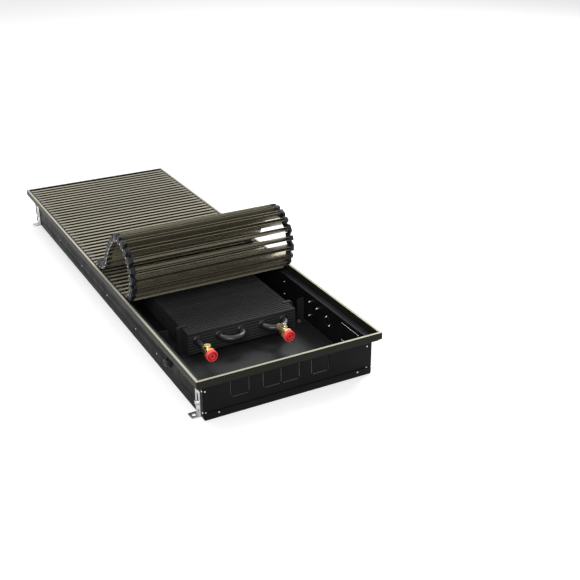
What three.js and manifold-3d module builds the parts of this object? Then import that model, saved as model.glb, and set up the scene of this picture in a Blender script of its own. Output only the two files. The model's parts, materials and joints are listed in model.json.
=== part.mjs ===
// Trench convector heater with a roll-up grille, the front of the grille folded back onto the rest.
// Millimetres, +Z up. X runs across the heater and Y along it, towards the rear. The origin is on
// the floor under the middle of the frame. Heights are measured from the floor.

import * as THREE from "three";
import { mergeVertices } from "three/addons/utils/BufferGeometryUtils.js";
import Module from "manifold-3d";

const wasm = await Module();
wasm.setup();

// ---- Driving dimensions ----

const clearance = 0.3; // between pieces that rest on each other
const sheet = 1.5; // steel of the casing and its brackets

// Frame round the top of the casing
const frameWidth = 420;
const frameLength = 1250;
const frameTop = 98;
const frameFace = 6; // width of the visible top edge
const lipHeight = 15.5; // outer lip, which covers the cut edge of the floor finish
const lipStep = 5; // how far the lip stands out past the skirt below it
const seatDepth = 18; // from the frame's top down to the seat that carries the grille
const seatReach = 22; // from the frame's outer edge to the seat's inner edge
const seatThickness = 2;

// Casing
const wallInset = 19; // frame's outer edge to the outside of a side wall
const endInset = 11; // frame's outer edge to the outside of a sill
const sillHeight = 16; // strip along the foot of an end plate
const endFlangeLength = 15; // end plate's flange along the outside of a side wall
const endFlangeLift = 4; // bottom of that flange above the floor

// Knock-outs: panels held by corner bridges, pushed out for pipes and cables
const slitWidth = 2.4;
const bridgeWidth = 3;
const pipeKnockoutWidth = 40;
const pipeKnockoutFoot = 36.5;
const pipeKnockoutHead = 74;
const pipeKnockoutStarts = [-133, -61.5, -20, 49]; // left edges, from the middle of the end plate
const sideKnockoutLength = 80;
const sideKnockoutFoot = 26;
const sideKnockoutHead = 67;
const sideKnockoutFromEnd = 55; // frame's outer edge to its nearer end
const roundKnockoutRadius = 12;
const bridgeOverrun = 1; // the bridge's cutter past the ring it crosses
const glandFromEnd = 190; // frame's outer edge to the cable gland and the round knock-out
const glandHeight = 44;

// Grille: inverted channel slats on two link chains
const slatPitch = 20;
const slatMargin = 25; // least distance from the frame's outer edge to the middle of an end slat
const movingCount = 21;
const slatWidth = 8.5;
const slatHeight = 17.5;
const slatWall = 1.2;
const slatEndGap = 2.4; // slat end to the frame's inner face
const hingeHeight = 14; // hinge pins above the slats' lower edges
const linkRadius = 3.4;
const linkFoot = 7.5; // half length of a link at its lower edge
const linkFootLift = 1; // a link's lower edge above the slat's lower edge
const linkWidth = 5.5;
const linkEndInset = 1.1; // slat end to the outer link
const pinRadius = 1.6;
const pinHoleRadius = 2.1;

// Fold of the moving slats, as turns at their hinges in degrees
const riseTurn = 17.6;
const riseCount = 10;
const crownCount = 2;
const fallTurn = 4.4;
const fallCount = 5;
const foldRestGap = 0.6; // folded end above the lying slats

// Fin pack and its tubes
const finPackWidth = 264;
const finPackHeight = 50;
const finPackFoot = 10;
const finPackFront = 254; // from the frame's outer front edge
const finPackRear = 71; // from the frame's outer rear edge
const finPackOffset = 10; // the pack sits this far right of the middle
const tubeRadius = 7.5;
const tubeCount = 5;
const firstTubeInset = 21; // pack's left side to the axis of the first tube
const lastTubeInset = 31; // axis of the last tube to the pack's right side
const tubeHeight = 40;
const tubeStandOut = 4; // straight tube between the pack and a bend
const stubLength = 42; // inlet tube from the pack to the left fitting

// Fittings on the tubes
const barrelRadius = 10;
const barrelLength = 22;
const socketDepth = 5;
const spigotRadius = 8;
const spigotLength = 13;
const spigotBore = 5;
const bossRadius = 6.5;
const bossHeight = 12.5; // above the tubes' axis
const bossFromFront = 8; // boss axis behind the barrel's front face
const nutAcrossFlats = 24;
const nutLength = 8.5;
const capRadius = 13;
const capLength = 9;
const capWall = 4; // closed front of a cap
const plugRadius = 7.5;
const plugHeight = 3;
const ventRadius = 5.6;
const ventHeight = 9;
const keyRadius = 2.6;
const keyHeight = 3.5;
const stemRadius = 4;
const stemLength = 6;

// Brackets beside the fin pack, each with a clip over the top of the fins
const leftBracketReach = 40; // from the wall's inner face
const rightBracketReach = 18;
const bracketHeight = 58;
const bracketFromFront = 46; // bracket web behind the pack's front face
const bracketCorner = 8;
const saddleLength = 16;
const saddleWidth = 20; // reach of the saddle under the pack
const clipReach = 12;
const clipThickness = 8;
const clipTab = 12;
const tabThickness = 1.5;

// Levelling feet
const footWidth = 22;
const footFromEnd = 39.5; // frame's outer edge to the middle of a foot
const footHeight = 58;
const footThickness = 2;
const footSole = 19;
const footHoleRadius = 4;
const slotRadius = 3.5;
const slotFoot = 28; // lowest place of the bolt in the slot
const slotTravel = 18.5;
const boltRadius = 2.9;
const boltHeadRadius = 5.5;
const boltHeadLength = 4.5;
const boltReach = 9; // shank length under the head
const boltHoleRadius = 3.4;

// Cable gland
const glandThread = 7;
const glandHoleRadius = 8;
const glandFlange = 12;
const glandFlangeLength = 4;
const glandNutRadius = 9.5;
const glandNutLength = 7;
const glandBore = 3.5;
const lockNutRadius = 11;
const lockNutLength = 4;

// ---- Sizes that follow from them ----

const halfWidth = frameWidth / 2;
const halfLength = frameLength / 2;
const seatTop = frameTop - seatDepth;
const seatFoot = seatTop - seatThickness;
const wallTop = seatFoot - clearance;
const sheetTop = sheet + clearance; // what stands on the casing's floor starts here
const wallOuter = halfWidth - wallInset;
const wallInner = wallOuter - sheet;
const casingEnd = halfLength - endInset;
const endPlateOuter = casingEnd - sheet - clearance;
const endPlateInner = endPlateOuter - sheet;
const slatFoot = seatTop + clearance;
const hingeLevel = slatFoot + hingeHeight;
const slatHalfLength = halfWidth - frameFace - slatEndGap;
const slatCount = Math.floor((frameLength - 2 * slatMargin) / slatPitch) + 1;
const foldHingeY = -((slatCount - 1) / 2 - movingCount + 0.5) * slatPitch;
const packFrontY = -halfLength + finPackFront;
const packRearY = halfLength - finPackRear;
const packTop = finPackFoot + finPackHeight;
const tubePitch = (finPackWidth - firstTubeInset - lastTubeInset) / (tubeCount - 1);
const bendRadius = tubePitch / 2;
const frontBendY = packFrontY - tubeStandOut;
const rearBendY = packRearY + tubeStandOut;
const barrelRearY = packFrontY - stubLength;
const barrelFrontY = barrelRearY - barrelLength;
const bossY = barrelFrontY + bossFromFront;
const bossTop = tubeHeight + bossHeight;
const bracketY = packFrontY + bracketFromFront;
const footY = halfLength - footFromEnd;
const boltLevel = slotFoot + clearance;
const glandY = -halfLength + glandFromEnd;
const sin60 = Math.sin(Math.PI / 3);

// ---- Materials ----

function material(color, roughness, metalness) {
  return new THREE.MeshStandardMaterial({ color, roughness, metalness });
}

const blackSteel = material(0x222325, 0.5, 0.3);
const anodised = material(0x8f8b78, 0.35, 0.9);
const seatStrip = material(0x2a2d33, 0.6, 0);
const blackFins = material(0x1c1d1f, 0.55, 0.4);
const blackTube = material(0x2b2c2e, 0.35, 0.5);
const brass = material(0xc9a04a, 0.3, 1);
const chrome = material(0xd8dadc, 0.12, 1);
const redPlastic = material(0xd8141c, 0.4, 0);
const zinc = material(0xa9aaa6, 0.4, 0.9);
const blackPlastic = material(0x151515, 0.5, 0);

// ---- Solids ----

function solid(geometry) {
  const bare = geometry.clone();
  bare.deleteAttribute("normal");
  bare.deleteAttribute("uv");
  const merged = mergeVertices(bare, 1e-4);
  return new wasm.Manifold(
    new wasm.Mesh({
      numProp: 3,
      vertProperties: merged.attributes.position.array,
      triVerts: new Uint32Array(merged.index.array),
    }),
  );
}

function geometryOf(body) {
  const mesh = body.getMesh();
  const geometry = new THREE.BufferGeometry();
  geometry.setAttribute("position", new THREE.BufferAttribute(mesh.vertProperties, 3));
  geometry.setIndex(new THREE.BufferAttribute(mesh.triVerts, 1));
  geometry.computeVertexNormals();
  return geometry;
}

function join(...bodies) {
  return bodies.reduce((whole, body) => whole.add(body));
}

function cut(body, ...tools) {
  return tools.reduce((rest, tool) => rest.subtract(tool), body);
}

// Each argument is the [low, high] of one axis.
function block([x0, x1], [y0, y1], [z0, z1]) {
  const geometry = new THREE.BoxGeometry(x1 - x0, y1 - y0, z1 - z0);
  geometry.translate((x0 + x1) / 2, (y0 + y1) / 2, (z0 + z1) / 2);
  return solid(geometry);
}

// A round or six-sided rod from low to high along an axis; centre holds its other two coordinates.
function rod(axis, radius, [low, high], centre, sides = 12) {
  const geometry = new THREE.CylinderGeometry(radius, radius, high - low, sides);
  const middle = (low + high) / 2;
  if (axis === "x") {
    geometry.rotateZ(Math.PI / 2);
    geometry.translate(middle, centre[0], centre[1]);
  } else if (axis === "y") {
    geometry.translate(centre[0], middle, centre[1]);
  } else {
    geometry.rotateX(Math.PI / 2);
    geometry.translate(centre[0], centre[1], middle);
  }
  return solid(geometry);
}

// An outline of [y, z] points or a Shape, drawn out along X.
function prismX(outline, [x0, x1], curveSegments = 4) {
  const shape = outline instanceof THREE.Shape ? outline : polygon(outline);
  const geometry = new THREE.ExtrudeGeometry(shape, {
    depth: x1 - x0,
    bevelEnabled: false,
    curveSegments,
  });
  geometry.applyMatrix4(new THREE.Matrix4().set(0, 0, 1, x0, 1, 0, 0, 0, 0, 1, 0, 0, 0, 0, 0, 1));
  return solid(geometry);
}

// A Shape in X and Z, drawn out along Y.
function prismY(shape, [y0, y1], curveSegments = 4) {
  const geometry = new THREE.ExtrudeGeometry(shape, {
    depth: y1 - y0,
    bevelEnabled: false,
    curveSegments,
  });
  geometry.rotateX(Math.PI / 2);
  geometry.translate(0, y1, 0);
  return solid(geometry);
}

function polygon(points) {
  return new THREE.Shape(points.map(([u, v]) => new THREE.Vector2(u, v)));
}

// A route whose steps are its own legs, so a long straight takes one step and a bend several.
class Route extends THREE.Curve {
  constructor(points) {
    super();
    this.points = points;
  }

  getPoint(t) {
    const legs = this.points.length - 1;
    const leg = Math.min(Math.floor(t * legs), legs - 1);
    return this.points[leg].clone().lerp(this.points[leg + 1], t * legs - leg);
  }

  getUtoTmapping(u) {
    return u;
  }
}

function tubeAlong(points, radius, sides = 10) {
  const section = new THREE.Shape();
  section.absarc(0, 0, radius, 0, 2 * Math.PI);
  const geometry = new THREE.ExtrudeGeometry(section, {
    steps: points.length - 1,
    curveSegments: sides / 2,
    bevelEnabled: false,
    extrudePath: new Route(points),
  });
  return solid(geometry);
}

// ---- Scene ----

const heater = new THREE.Group();

function add(name, body, look, parent = heater) {
  const mesh = new THREE.Mesh(geometryOf(body), look);
  mesh.name = name;
  parent.add(mesh);
  return mesh;
}

const sides = [
  { name: "left", sign: -1 },
  { name: "right", sign: 1 },
];
const ends = [
  { name: "front", sign: -1 },
  { name: "rear", sign: 1 },
];

// Puts a [low, high] span on the side of the axis that sign names.
function span(sign, low, high) {
  return sign > 0 ? [low, high] : [-high, -low];
}

// ---- Casing ----

// Slits round a panel in an end plate or a wall, with the sheet left whole at the panel's corners.
// across and up are the panel's [low, high]; slit(across, up) makes one cutter.
function panelSlits(across, up, slit) {
  const half = slitWidth / 2;
  const alongAcross = [across[0] + bridgeWidth, across[1] - bridgeWidth];
  const alongUp = [up[0] + bridgeWidth, up[1] - bridgeWidth];
  return [
    slit(alongAcross, [up[0] - half, up[0] + half]),
    slit(alongAcross, [up[1] - half, up[1] + half]),
    slit([across[0] - half, across[0] + half], alongUp),
    slit([across[1] - half, across[1] + half], alongUp),
  ];
}

// The cutters of one side panel: its clamp-bolt holes, cable knock-out and round opening.
function wallCutters(side) {
  const through = span(side.sign, wallInner - sheet, wallOuter + sheet);
  const nearEnd = -halfLength + sideKnockoutFromEnd;
  const cutters = panelSlits(
    [nearEnd, nearEnd + sideKnockoutLength],
    [sideKnockoutFoot, sideKnockoutHead],
    (across, up) => block(through, across, up),
  );
  for (const end of ends)
    cutters.push(rod("x", boltHoleRadius, through, [end.sign * footY, boltLevel]));
  cutters.push(side.sign < 0 ? glandHole(through) : roundKnockout(through));
  return cutters;
}

function glandHole(through) {
  return rod("x", glandHoleRadius, through, [glandY, glandHeight]);
}

// A ring slit with an upright bridge across it.
function roundKnockout(through) {
  const outer = rod("x", roundKnockoutRadius, through, [glandY, glandHeight], 16);
  const inner = rod("x", roundKnockoutRadius - slitWidth, through, [glandY, glandHeight], 16);
  const bridge = block(
    through,
    [glandY - bridgeWidth / 2, glandY + bridgeWidth / 2],
    [
      glandHeight - roundKnockoutRadius - bridgeOverrun,
      glandHeight + roundKnockoutRadius + bridgeOverrun,
    ],
  );
  return cut(outer, inner, bridge);
}

function sidePanel(side) {
  const panel = block(
    span(side.sign, wallInner, wallOuter),
    [-endPlateInner + clearance, endPlateInner - clearance],
    [sheetTop, wallTop],
  );
  return cut(panel, ...wallCutters(side));
}

function endPlate(end) {
  const outside = wallOuter + clearance + sheet;
  const web = block(
    [-outside, outside],
    span(end.sign, endPlateInner, endPlateOuter),
    [sheetTop, wallTop],
  );
  const flanges = sides.map((side) =>
    block(
      span(side.sign, wallOuter + clearance, outside),
      span(end.sign, endPlateOuter - endFlangeLength, endPlateOuter),
      [endFlangeLift, wallTop],
    ),
  );
  const through = span(end.sign, endPlateInner - sheet, endPlateOuter + sheet);
  const slits = pipeKnockoutStarts.flatMap((start) =>
    panelSlits(
      [start, start + pipeKnockoutWidth],
      [pipeKnockoutFoot, pipeKnockoutHead],
      (across, up) => block(across, through, up),
    ),
  );
  return cut(join(web, ...flanges), ...slits);
}

// Strip that laps the foot of an end plate, standing on the floor sheet.
function sill(end) {
  return block(
    [-wallOuter, wallOuter],
    span(end.sign, casingEnd - sheet, casingEnd),
    [sheetTop, sillHeight],
  );
}

const floorSheet = block([-wallOuter, wallOuter], [-casingEnd, casingEnd], [0, sheet]);

add("casing_floor", floorSheet, blackSteel);
for (const side of sides) add("side_panel_" + side.name, sidePanel(side), blackSteel);
for (const end of ends) {
  add(end.name + "_end_plate", endPlate(end), blackSteel);
  add(end.name + "_sill", sill(end), blackSteel);
}

// ---- Frame: four mitred bars, and the seat inside them that carries the grille ----

// Section as [distance in from the outer edge, height].
const frameSection = [
  [0, frameTop - lipHeight],
  [lipStep, frameTop - lipHeight],
  [lipStep, seatFoot],
  [frameFace, seatFoot],
  [frameFace, frameTop],
  [0, frameTop],
];

// A bar along X whose outer face is at y = -acrossFrame / 2, with ends mitred at 45 degrees.
function frameBar(length, acrossFrame) {
  const geometry = new THREE.ExtrudeGeometry(polygon(frameSection), {
    depth: 1,
    bevelEnabled: false,
  });
  const position = geometry.attributes.position;
  for (let i = 0; i < position.count; i++) {
    const inward = position.getX(i);
    const height = position.getY(i);
    const end = 2 * position.getZ(i) - 1;
    const reach = length / 2 - inward - clearance;
    position.setXYZ(i, end * reach, inward - acrossFrame / 2, height);
  }
  return solid(geometry);
}

const frameBars = [
  { name: "frame_front", length: frameWidth, across: frameLength, quarterTurns: 0 },
  { name: "frame_right", length: frameLength, across: frameWidth, quarterTurns: 1 },
  { name: "frame_rear", length: frameWidth, across: frameLength, quarterTurns: 2 },
  { name: "frame_left", length: frameLength, across: frameWidth, quarterTurns: 3 },
];
for (const bar of frameBars) {
  const mesh = add(bar.name, frameBar(bar.length, bar.across), anodised);
  mesh.rotation.z = (bar.quarterTurns * Math.PI) / 2;
}

// Ring of flat strip on the top edges of the casing.
function grilleSeat() {
  const level = [seatFoot, seatTop];
  const outside = frameFace + clearance;
  const rim = block(
    [outside - halfWidth, halfWidth - outside],
    [outside - halfLength, halfLength - outside],
    level,
  );
  const bay = block(
    [seatReach - halfWidth, halfWidth - seatReach],
    [seatReach - halfLength, halfLength - seatReach],
    [seatFoot - 1, seatTop + 1],
  );
  return cut(rim, bay);
}

add("grille_seat", grilleSeat(), seatStrip);

// ---- Fin pack, tubes and bends ----

const packSpan = [finPackOffset - finPackWidth / 2, finPackOffset + finPackWidth / 2];

function tubeX(index) {
  return packSpan[0] + firstTubeInset + index * tubePitch;
}

function finPack() {
  const bores = Array.from({ length: tubeCount }, (_, index) =>
    rod(
      "y",
      tubeRadius + 2 * clearance,
      [packFrontY - 1, packRearY + 1],
      [tubeX(index), tubeHeight],
    ),
  );
  return cut(block(packSpan, [packFrontY, packRearY], [finPackFoot, packTop]), ...bores);
}

// Half turn from one tube to the next, at the front (sign -1) or the rear (sign 1) of the pack.
function halfTurn(index, y, sign, steps = 8) {
  const middle = (tubeX(index) + tubeX(index + 1)) / 2;
  return Array.from({ length: steps + 1 }, (_, step) => {
    const angle = Math.PI * (1 - step / steps);
    const x = middle + bendRadius * Math.cos(angle);
    return new THREE.Vector3(x, y + sign * bendRadius * Math.sin(angle), tubeHeight);
  });
}

function at(x, y) {
  return new THREE.Vector3(x, y, tubeHeight);
}

function frontBend(index, radius = tubeRadius) {
  return tubeAlong(halfTurn(index, frontBendY, -1), radius);
}

const lastTube = tubeCount - 1;
const rearHeaderY = rearBendY + bendRadius;

// One brazed run: in at the left stub, to and fro through the pack, and out at the last tube,
// whose rear end a header ties to the last rear bend.
function coilTube() {
  const run = [at(tubeX(0), barrelRearY - socketDepth)];
  for (let index = 0; index < lastTube; index++) {
    const atRear = index % 2 === 0;
    run.push(...halfTurn(index, atRear ? rearBendY : frontBendY, atRear ? 1 : -1));
  }
  run.push(at(tubeX(lastTube), rearHeaderY));
  const lastCrown = (tubeX(lastTube - 2) + tubeX(lastTube - 1)) / 2;
  const header = rod(
    "x",
    tubeRadius - 1,
    [lastCrown, tubeX(lastTube)],
    [rearHeaderY, tubeHeight],
  );
  return join(tubeAlong(run, tubeRadius), header);
}

add("fin_pack", finPack(), blackFins);
add("coil_tube", coilTube(), blackTube);

// ---- Water fittings ----

// Barrel, boss and threaded spigot at x. Its rear is bored for a tube, or shaped to sit on a bend.
function fittingBody(x, rearY, rearCutter) {
  const axis = [x, tubeHeight];
  const barrel = rod("y", barrelRadius, [barrelFrontY, rearY], axis, 16);
  const spigot = rod("y", spigotRadius, [barrelFrontY - spigotLength, rearY], axis, 16);
  const boss = rod("z", bossRadius, [tubeHeight, bossTop], [x, bossY], 16);
  const stemHole = rod(
    "z",
    stemRadius + clearance,
    [bossTop - stemLength - clearance, bossTop + 1],
    [x, bossY],
  );
  const water = rod("y", spigotBore, [barrelFrontY - spigotLength - 1, barrelFrontY], axis);
  return cut(join(barrel, spigot, boss), stemHole, water, rearCutter);
}

function hexRadius(acrossFlats) {
  return acrossFlats / 2 / sin60;
}

function unionNut(x) {
  const rear = barrelFrontY - clearance;
  const axis = [x, tubeHeight];
  const hex = rod("y", hexRadius(nutAcrossFlats), [rear - nutLength, rear], axis, 6);
  return cut(hex, rod("y", spigotRadius + clearance, [rear - nutLength - 1, rear + 1], axis, 16));
}

// Cup over the end of the spigot, its closed face to the front.
function pipeCap(x) {
  const rear = barrelFrontY - nutLength - 2 * clearance;
  const front = rear - capLength;
  const axis = [x, tubeHeight];
  const cup = rod("y", capRadius, [front, rear], axis, 24);
  return cut(cup, rod("y", spigotRadius + clearance, [front + capWall, rear + 1], axis, 16));
}

// Head with a stem that screws into the boss.
function bossStopper(x, headRadius, headHeight, headSides) {
  const foot = bossTop + clearance;
  const head = rod("z", headRadius, [foot, foot + headHeight], [x, bossY], headSides);
  return join(head, rod("z", stemRadius, [bossTop - stemLength, foot + 1], [x, bossY]));
}

// Manual air vent: a stopper with a socket in its top for the vent key screw.
function airVent(x) {
  const top = bossTop + clearance + ventHeight;
  const socket = rod("z", keyRadius, [top - keyHeight, top + 1], [x, bossY]);
  return cut(bossStopper(x, ventRadius, ventHeight, 16), socket);
}

function ventScrew(x) {
  const top = bossTop + clearance + ventHeight;
  const shank = keyRadius - 2 * clearance;
  return rod("z", shank, [top - keyHeight + clearance, top + keyHeight], [x, bossY], 8);
}

const leftFittingX = tubeX(0);
const rightFittingX = (tubeX(lastTube - 1) + tubeX(lastTube)) / 2;
const leftSocket = rod(
  "y",
  tubeRadius + 2 * clearance,
  [barrelRearY - socketDepth - clearance, barrelRearY + 1],
  [leftFittingX, tubeHeight],
);
const rightBarrelRearY = frontBendY - bendRadius;

add("left_fitting_body", fittingBody(leftFittingX, barrelRearY, leftSocket), brass);
add(
  "right_fitting_body",
  fittingBody(rightFittingX, rightBarrelRearY, frontBend(lastTube - 1, tubeRadius + clearance)),
  brass,
);
add("left_union_nut", unionNut(leftFittingX), brass);
add("right_union_nut", unionNut(rightFittingX), brass);
add("left_pipe_cap", pipeCap(leftFittingX), redPlastic);
add("right_pipe_cap", pipeCap(rightFittingX), redPlastic);
add("blanking_plug", bossStopper(leftFittingX, plugRadius, plugHeight, 16), brass);
add("air_vent_body", airVent(rightFittingX), chrome);
add("air_vent_screw", ventScrew(rightFittingX), chrome);

// ---- Brackets that hold the fin pack, each with its clip ----

const bracketRows = [
  { name: "front", y: bracketY, toEnd: -1 },
  { name: "rear", y: packRearY - bracketFromFront, toEnd: 1 },
];

// Upright web with a rounded inner corner, a foot on the floor sheet, a saddle under the pack and
// a clip beside it.
function packBracket(side, row, reach) {
  const wall = wallInner - clearance;
  const inner = wallInner - reach;
  const foot = sheetTop;
  const web = new THREE.Shape();
  web.moveTo(side.sign * wall, foot);
  web.lineTo(side.sign * inner, foot);
  web.lineTo(side.sign * inner, bracketHeight - bracketCorner);
  web.quadraticCurveTo(
    side.sign * inner,
    bracketHeight,
    side.sign * (inner + bracketCorner),
    bracketHeight,
  );
  web.lineTo(side.sign * wall, bracketHeight);
  const packSide = side.sign < 0 ? -packSpan[0] : packSpan[1];
  const rowSpan = span(row.toEnd, row.toEnd * row.y, row.toEnd * row.y + saddleLength);
  const flange = block(span(side.sign, packSide - saddleWidth, wall), rowSpan, [
    foot,
    foot + sheet,
  ]);
  const saddle = block(span(side.sign, packSide - saddleWidth, packSide + clipReach), rowSpan, [
    foot,
    finPackFoot - clearance,
  ]);
  const plate = prismY(web, span(row.toEnd, row.toEnd * row.y, row.toEnd * row.y + sheet));
  return join(plate, flange, saddle, ...packClip(side, row));
}

// Cheek beside the pack, up from the bracket's saddle, and its tab over the top of the fins.
function packClip(side, row) {
  const packSide = side.sign < 0 ? -packSpan[0] : packSpan[1];
  const inner = packSide + clearance;
  const outer = packSide + clipReach;
  const top = packTop + clearance + tabThickness;
  const cheek = new THREE.Shape();
  cheek.moveTo(side.sign * inner, sheetTop);
  cheek.lineTo(side.sign * outer, sheetTop);
  cheek.lineTo(side.sign * outer, top - bracketCorner);
  cheek.quadraticCurveTo(side.sign * outer, top, side.sign * (outer - bracketCorner), top);
  cheek.lineTo(side.sign * inner, top);
  const middle = row.toEnd * row.y + saddleLength / 2;
  const along = span(row.toEnd, middle - clipThickness / 2, middle + clipThickness / 2);
  const tab = block(span(side.sign, packSide - clipTab, outer - bracketCorner), along, [
    packTop + clearance,
    top,
  ]);
  return [prismY(cheek, along), tab];
}

for (const row of bracketRows)
  for (const side of sides) {
    const reach = side.sign < 0 ? leftBracketReach : rightBracketReach;
    const name = "pack_bracket_" + row.name + "_" + side.name;
    add(name, packBracket(side, row, reach), blackSteel);
  }

// ---- Levelling feet ----

const footInner = wallOuter + clearance;
const footOuter = footInner + footThickness;

function levellingFoot(side, end) {
  const y = end.sign * footY;
  const along = [y - footWidth / 2, y + footWidth / 2];
  const plate = block(span(side.sign, footInner, footOuter), along, [0, footHeight]);
  const sole = block(span(side.sign, footInner, footOuter + footSole), along, [0, footThickness]);
  const through = span(side.sign, footInner - 1, footOuter + 1);
  const slotTop = slotFoot + slotTravel;
  const slot = join(
    rod("x", slotRadius, through, [y, slotFoot]),
    rod("x", slotRadius, through, [y, slotTop]),
    block(through, [y - slotRadius, y + slotRadius], [slotFoot, slotTop]),
  );
  const hole = rod("z", footHoleRadius, [-1, footThickness + 1], [
    side.sign * (footOuter + footSole / 2),
    y,
  ]);
  return cut(join(plate, sole), slot, hole);
}

function clampBolt(side, end) {
  const axis = [end.sign * footY, boltLevel];
  const seat = footOuter + clearance;
  const head = rod("x", boltHeadRadius, span(side.sign, seat, seat + boltHeadLength), axis, 6);
  const shank = rod("x", boltRadius, span(side.sign, seat - boltReach, seat + 1), axis, 10);
  return join(head, shank);
}

for (const end of ends)
  for (const side of sides) {
    const place = end.name + "_" + side.name;
    add("levelling_foot_" + place, levellingFoot(side, end), zinc);
    add("clamp_bolt_" + place, clampBolt(side, end), zinc);
  }

// ---- Cable gland in the left wall ----

const glandAxis = [glandY, glandHeight];
const flangeInner = wallOuter + clearance;
const flangeOuter = flangeInner + glandFlangeLength;
const glandMouth = flangeOuter + glandNutLength;
const lockNutInner = wallInner - clearance - lockNutLength;

// Thread through the wall with a flange outside; the thread stands out to carry the dome nut.
function glandBody() {
  const flange = rod("x", glandFlange, [-flangeOuter, -flangeInner], glandAxis, 6);
  const thread = rod("x", glandThread, [-glandMouth + 1, -lockNutInner + 2], glandAxis);
  const bore = rod("x", glandBore, [-glandMouth, -lockNutInner + 3], glandAxis);
  return cut(join(flange, thread), bore);
}

function glandNut() {
  const span = [-glandMouth, -flangeOuter - clearance];
  const nut = rod("x", glandNutRadius, span, glandAxis, 12);
  return cut(nut, rod("x", glandThread + clearance, [span[0] - 1, span[1] + 1], glandAxis));
}

function lockNut() {
  const span = [-wallInner + clearance, -lockNutInner];
  const nut = rod("x", lockNutRadius, span, glandAxis, 6);
  return cut(nut, rod("x", glandThread + clearance, [span[0] - 1, span[1] + 1], glandAxis));
}

add("cable_gland", glandBody(), blackPlastic);
add("gland_dome_nut", glandNut(), blackPlastic);
add("gland_lock_nut", lockNut(), blackPlastic);

// ---- Grille ----

// Channel section of a slat: [y, z] from the middle of its lower edges.
const slatSection = [
  [-slatWidth / 2, 0],
  [-slatWidth / 2 + slatWall, 0],
  [-slatWidth / 2 + slatWall, slatHeight - slatWall],
  [slatWidth / 2 - slatWall, slatHeight - slatWall],
  [slatWidth / 2 - slatWall, 0],
  [slatWidth / 2, 0],
  [slatWidth / 2, slatHeight],
  [-slatWidth / 2, slatHeight],
];

// Outline of a link in [y, z], with an eye at each hinge.
function linkShape() {
  const eye = slatPitch / 2;
  const shape = new THREE.Shape();
  shape.moveTo(-linkFoot, linkFootLift);
  shape.lineTo(linkFoot, linkFootLift);
  shape.absarc(eye, hingeHeight, linkRadius, -Math.PI / 3, Math.PI / 2);
  shape.absarc(-eye, hingeHeight, linkRadius, Math.PI / 2, (4 * Math.PI) / 3);
  return shape;
}

// Links that carry pins lie outside the ones with holes, at each end of the slats.
const outerLink = [slatHalfLength - linkEndInset - linkWidth, slatHalfLength - linkEndInset];
const innerLink = [outerLink[0] - clearance - linkWidth, outerLink[0] - clearance];

// A rod along X at hinge y on both sides, from low to high off the middle.
function hingeRods(y, radius, low, high) {
  return sides.map((side) => rod("x", radius, span(side.sign, low, high), [y, hingeHeight], 8));
}

function pinPair(y) {
  return hingeRods(y, pinRadius, innerLink[0] - clearance, outerLink[0] + 1);
}

function holePair(y) {
  return hingeRods(y, pinHoleRadius, innerLink[0] - 1, innerLink[1] + 1);
}

function channel() {
  return prismX(slatSection, [-slatHalfLength, slatHalfLength]);
}

function linkPair(place) {
  return sides.map((side) => prismX(linkShape(), span(side.sign, ...place), 2));
}

// A slat and its two links, about the middle of the slat's lower edges. free is the slat at the
// end of the grille, which has nothing to carry at its front hinge.
function slatBody(carriesPins, free) {
  const place = carriesPins ? outerLink : innerLink;
  const body = join(channel(), ...linkPair(place));
  const hinges = free ? [slatPitch / 2] : [slatPitch / 2, -slatPitch / 2];
  if (carriesPins) return join(body, ...hinges.flatMap(pinPair));
  return cut(body, ...hinges.flatMap(holePair));
}

// The slats that stay lying, with a spacer at each side between one and the next. The first one
// has links, whose front eyes take the pins of the moving slats.
function lyingGrille() {
  const first = foldHingeY + slatPitch / 2;
  const spacers = sides.map((side) =>
    block(
      span(side.sign, ...innerLink),
      [-slatPitch + slatWidth / 2 - slatWall / 2, -slatWidth / 2 + slatWall / 2],
      [linkFoot, hingeHeight],
    ),
  );
  const next = join(channel(), ...spacers);
  const count = slatCount - movingCount;
  const rows = Array.from({ length: count - 1 }, (_, i) =>
    next.translate([0, first + (i + 1) * slatPitch, slatFoot]),
  );
  const front = cut(join(channel(), ...linkPair(innerLink)), ...holePair(-slatPitch / 2));
  return join(front.translate([0, first, slatFoot]), ...rows);
}

// Turns at the hinges, in degrees. The crown's turn is solved so that the folded end lies on the
// lying slats, and the last turns lay it flat.
function turnsWithCrown(crownTurn) {
  const turns = [
    ...Array(riseCount).fill(riseTurn),
    ...Array(crownCount).fill(crownTurn),
    ...Array(fallCount).fill(fallTurn),
  ];
  const total = turns.reduce((sum, turn) => sum + turn, 0);
  const tailCount = movingCount - turns.length;
  return [...turns, ...Array(tailCount).fill((180 - total) / tailCount)];
}

function foldedEndHeight(turns) {
  let angle = 0;
  let height = hingeLevel;
  for (const turn of turns) {
    angle += THREE.MathUtils.degToRad(turn);
    height += slatPitch * Math.sin(angle);
  }
  return height;
}

function solveTurns() {
  const target = slatFoot + slatHeight + foldRestGap + slatHeight - hingeHeight;
  let low = 0;
  let high = 60;
  while (high - low > 1e-6) {
    const middle = (low + high) / 2;
    if (foldedEndHeight(turnsWithCrown(middle)) > target) low = middle;
    else high = middle;
  }
  return turnsWithCrown(high);
}

add("lying_grille", lyingGrille(), anodised);

const pinnedSlat = geometryOf(slatBody(true, false));
const pinnedEndSlat = geometryOf(slatBody(true, true));
const holedSlat = geometryOf(slatBody(false, false));
const holedEndSlat = geometryOf(slatBody(false, true));

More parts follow.
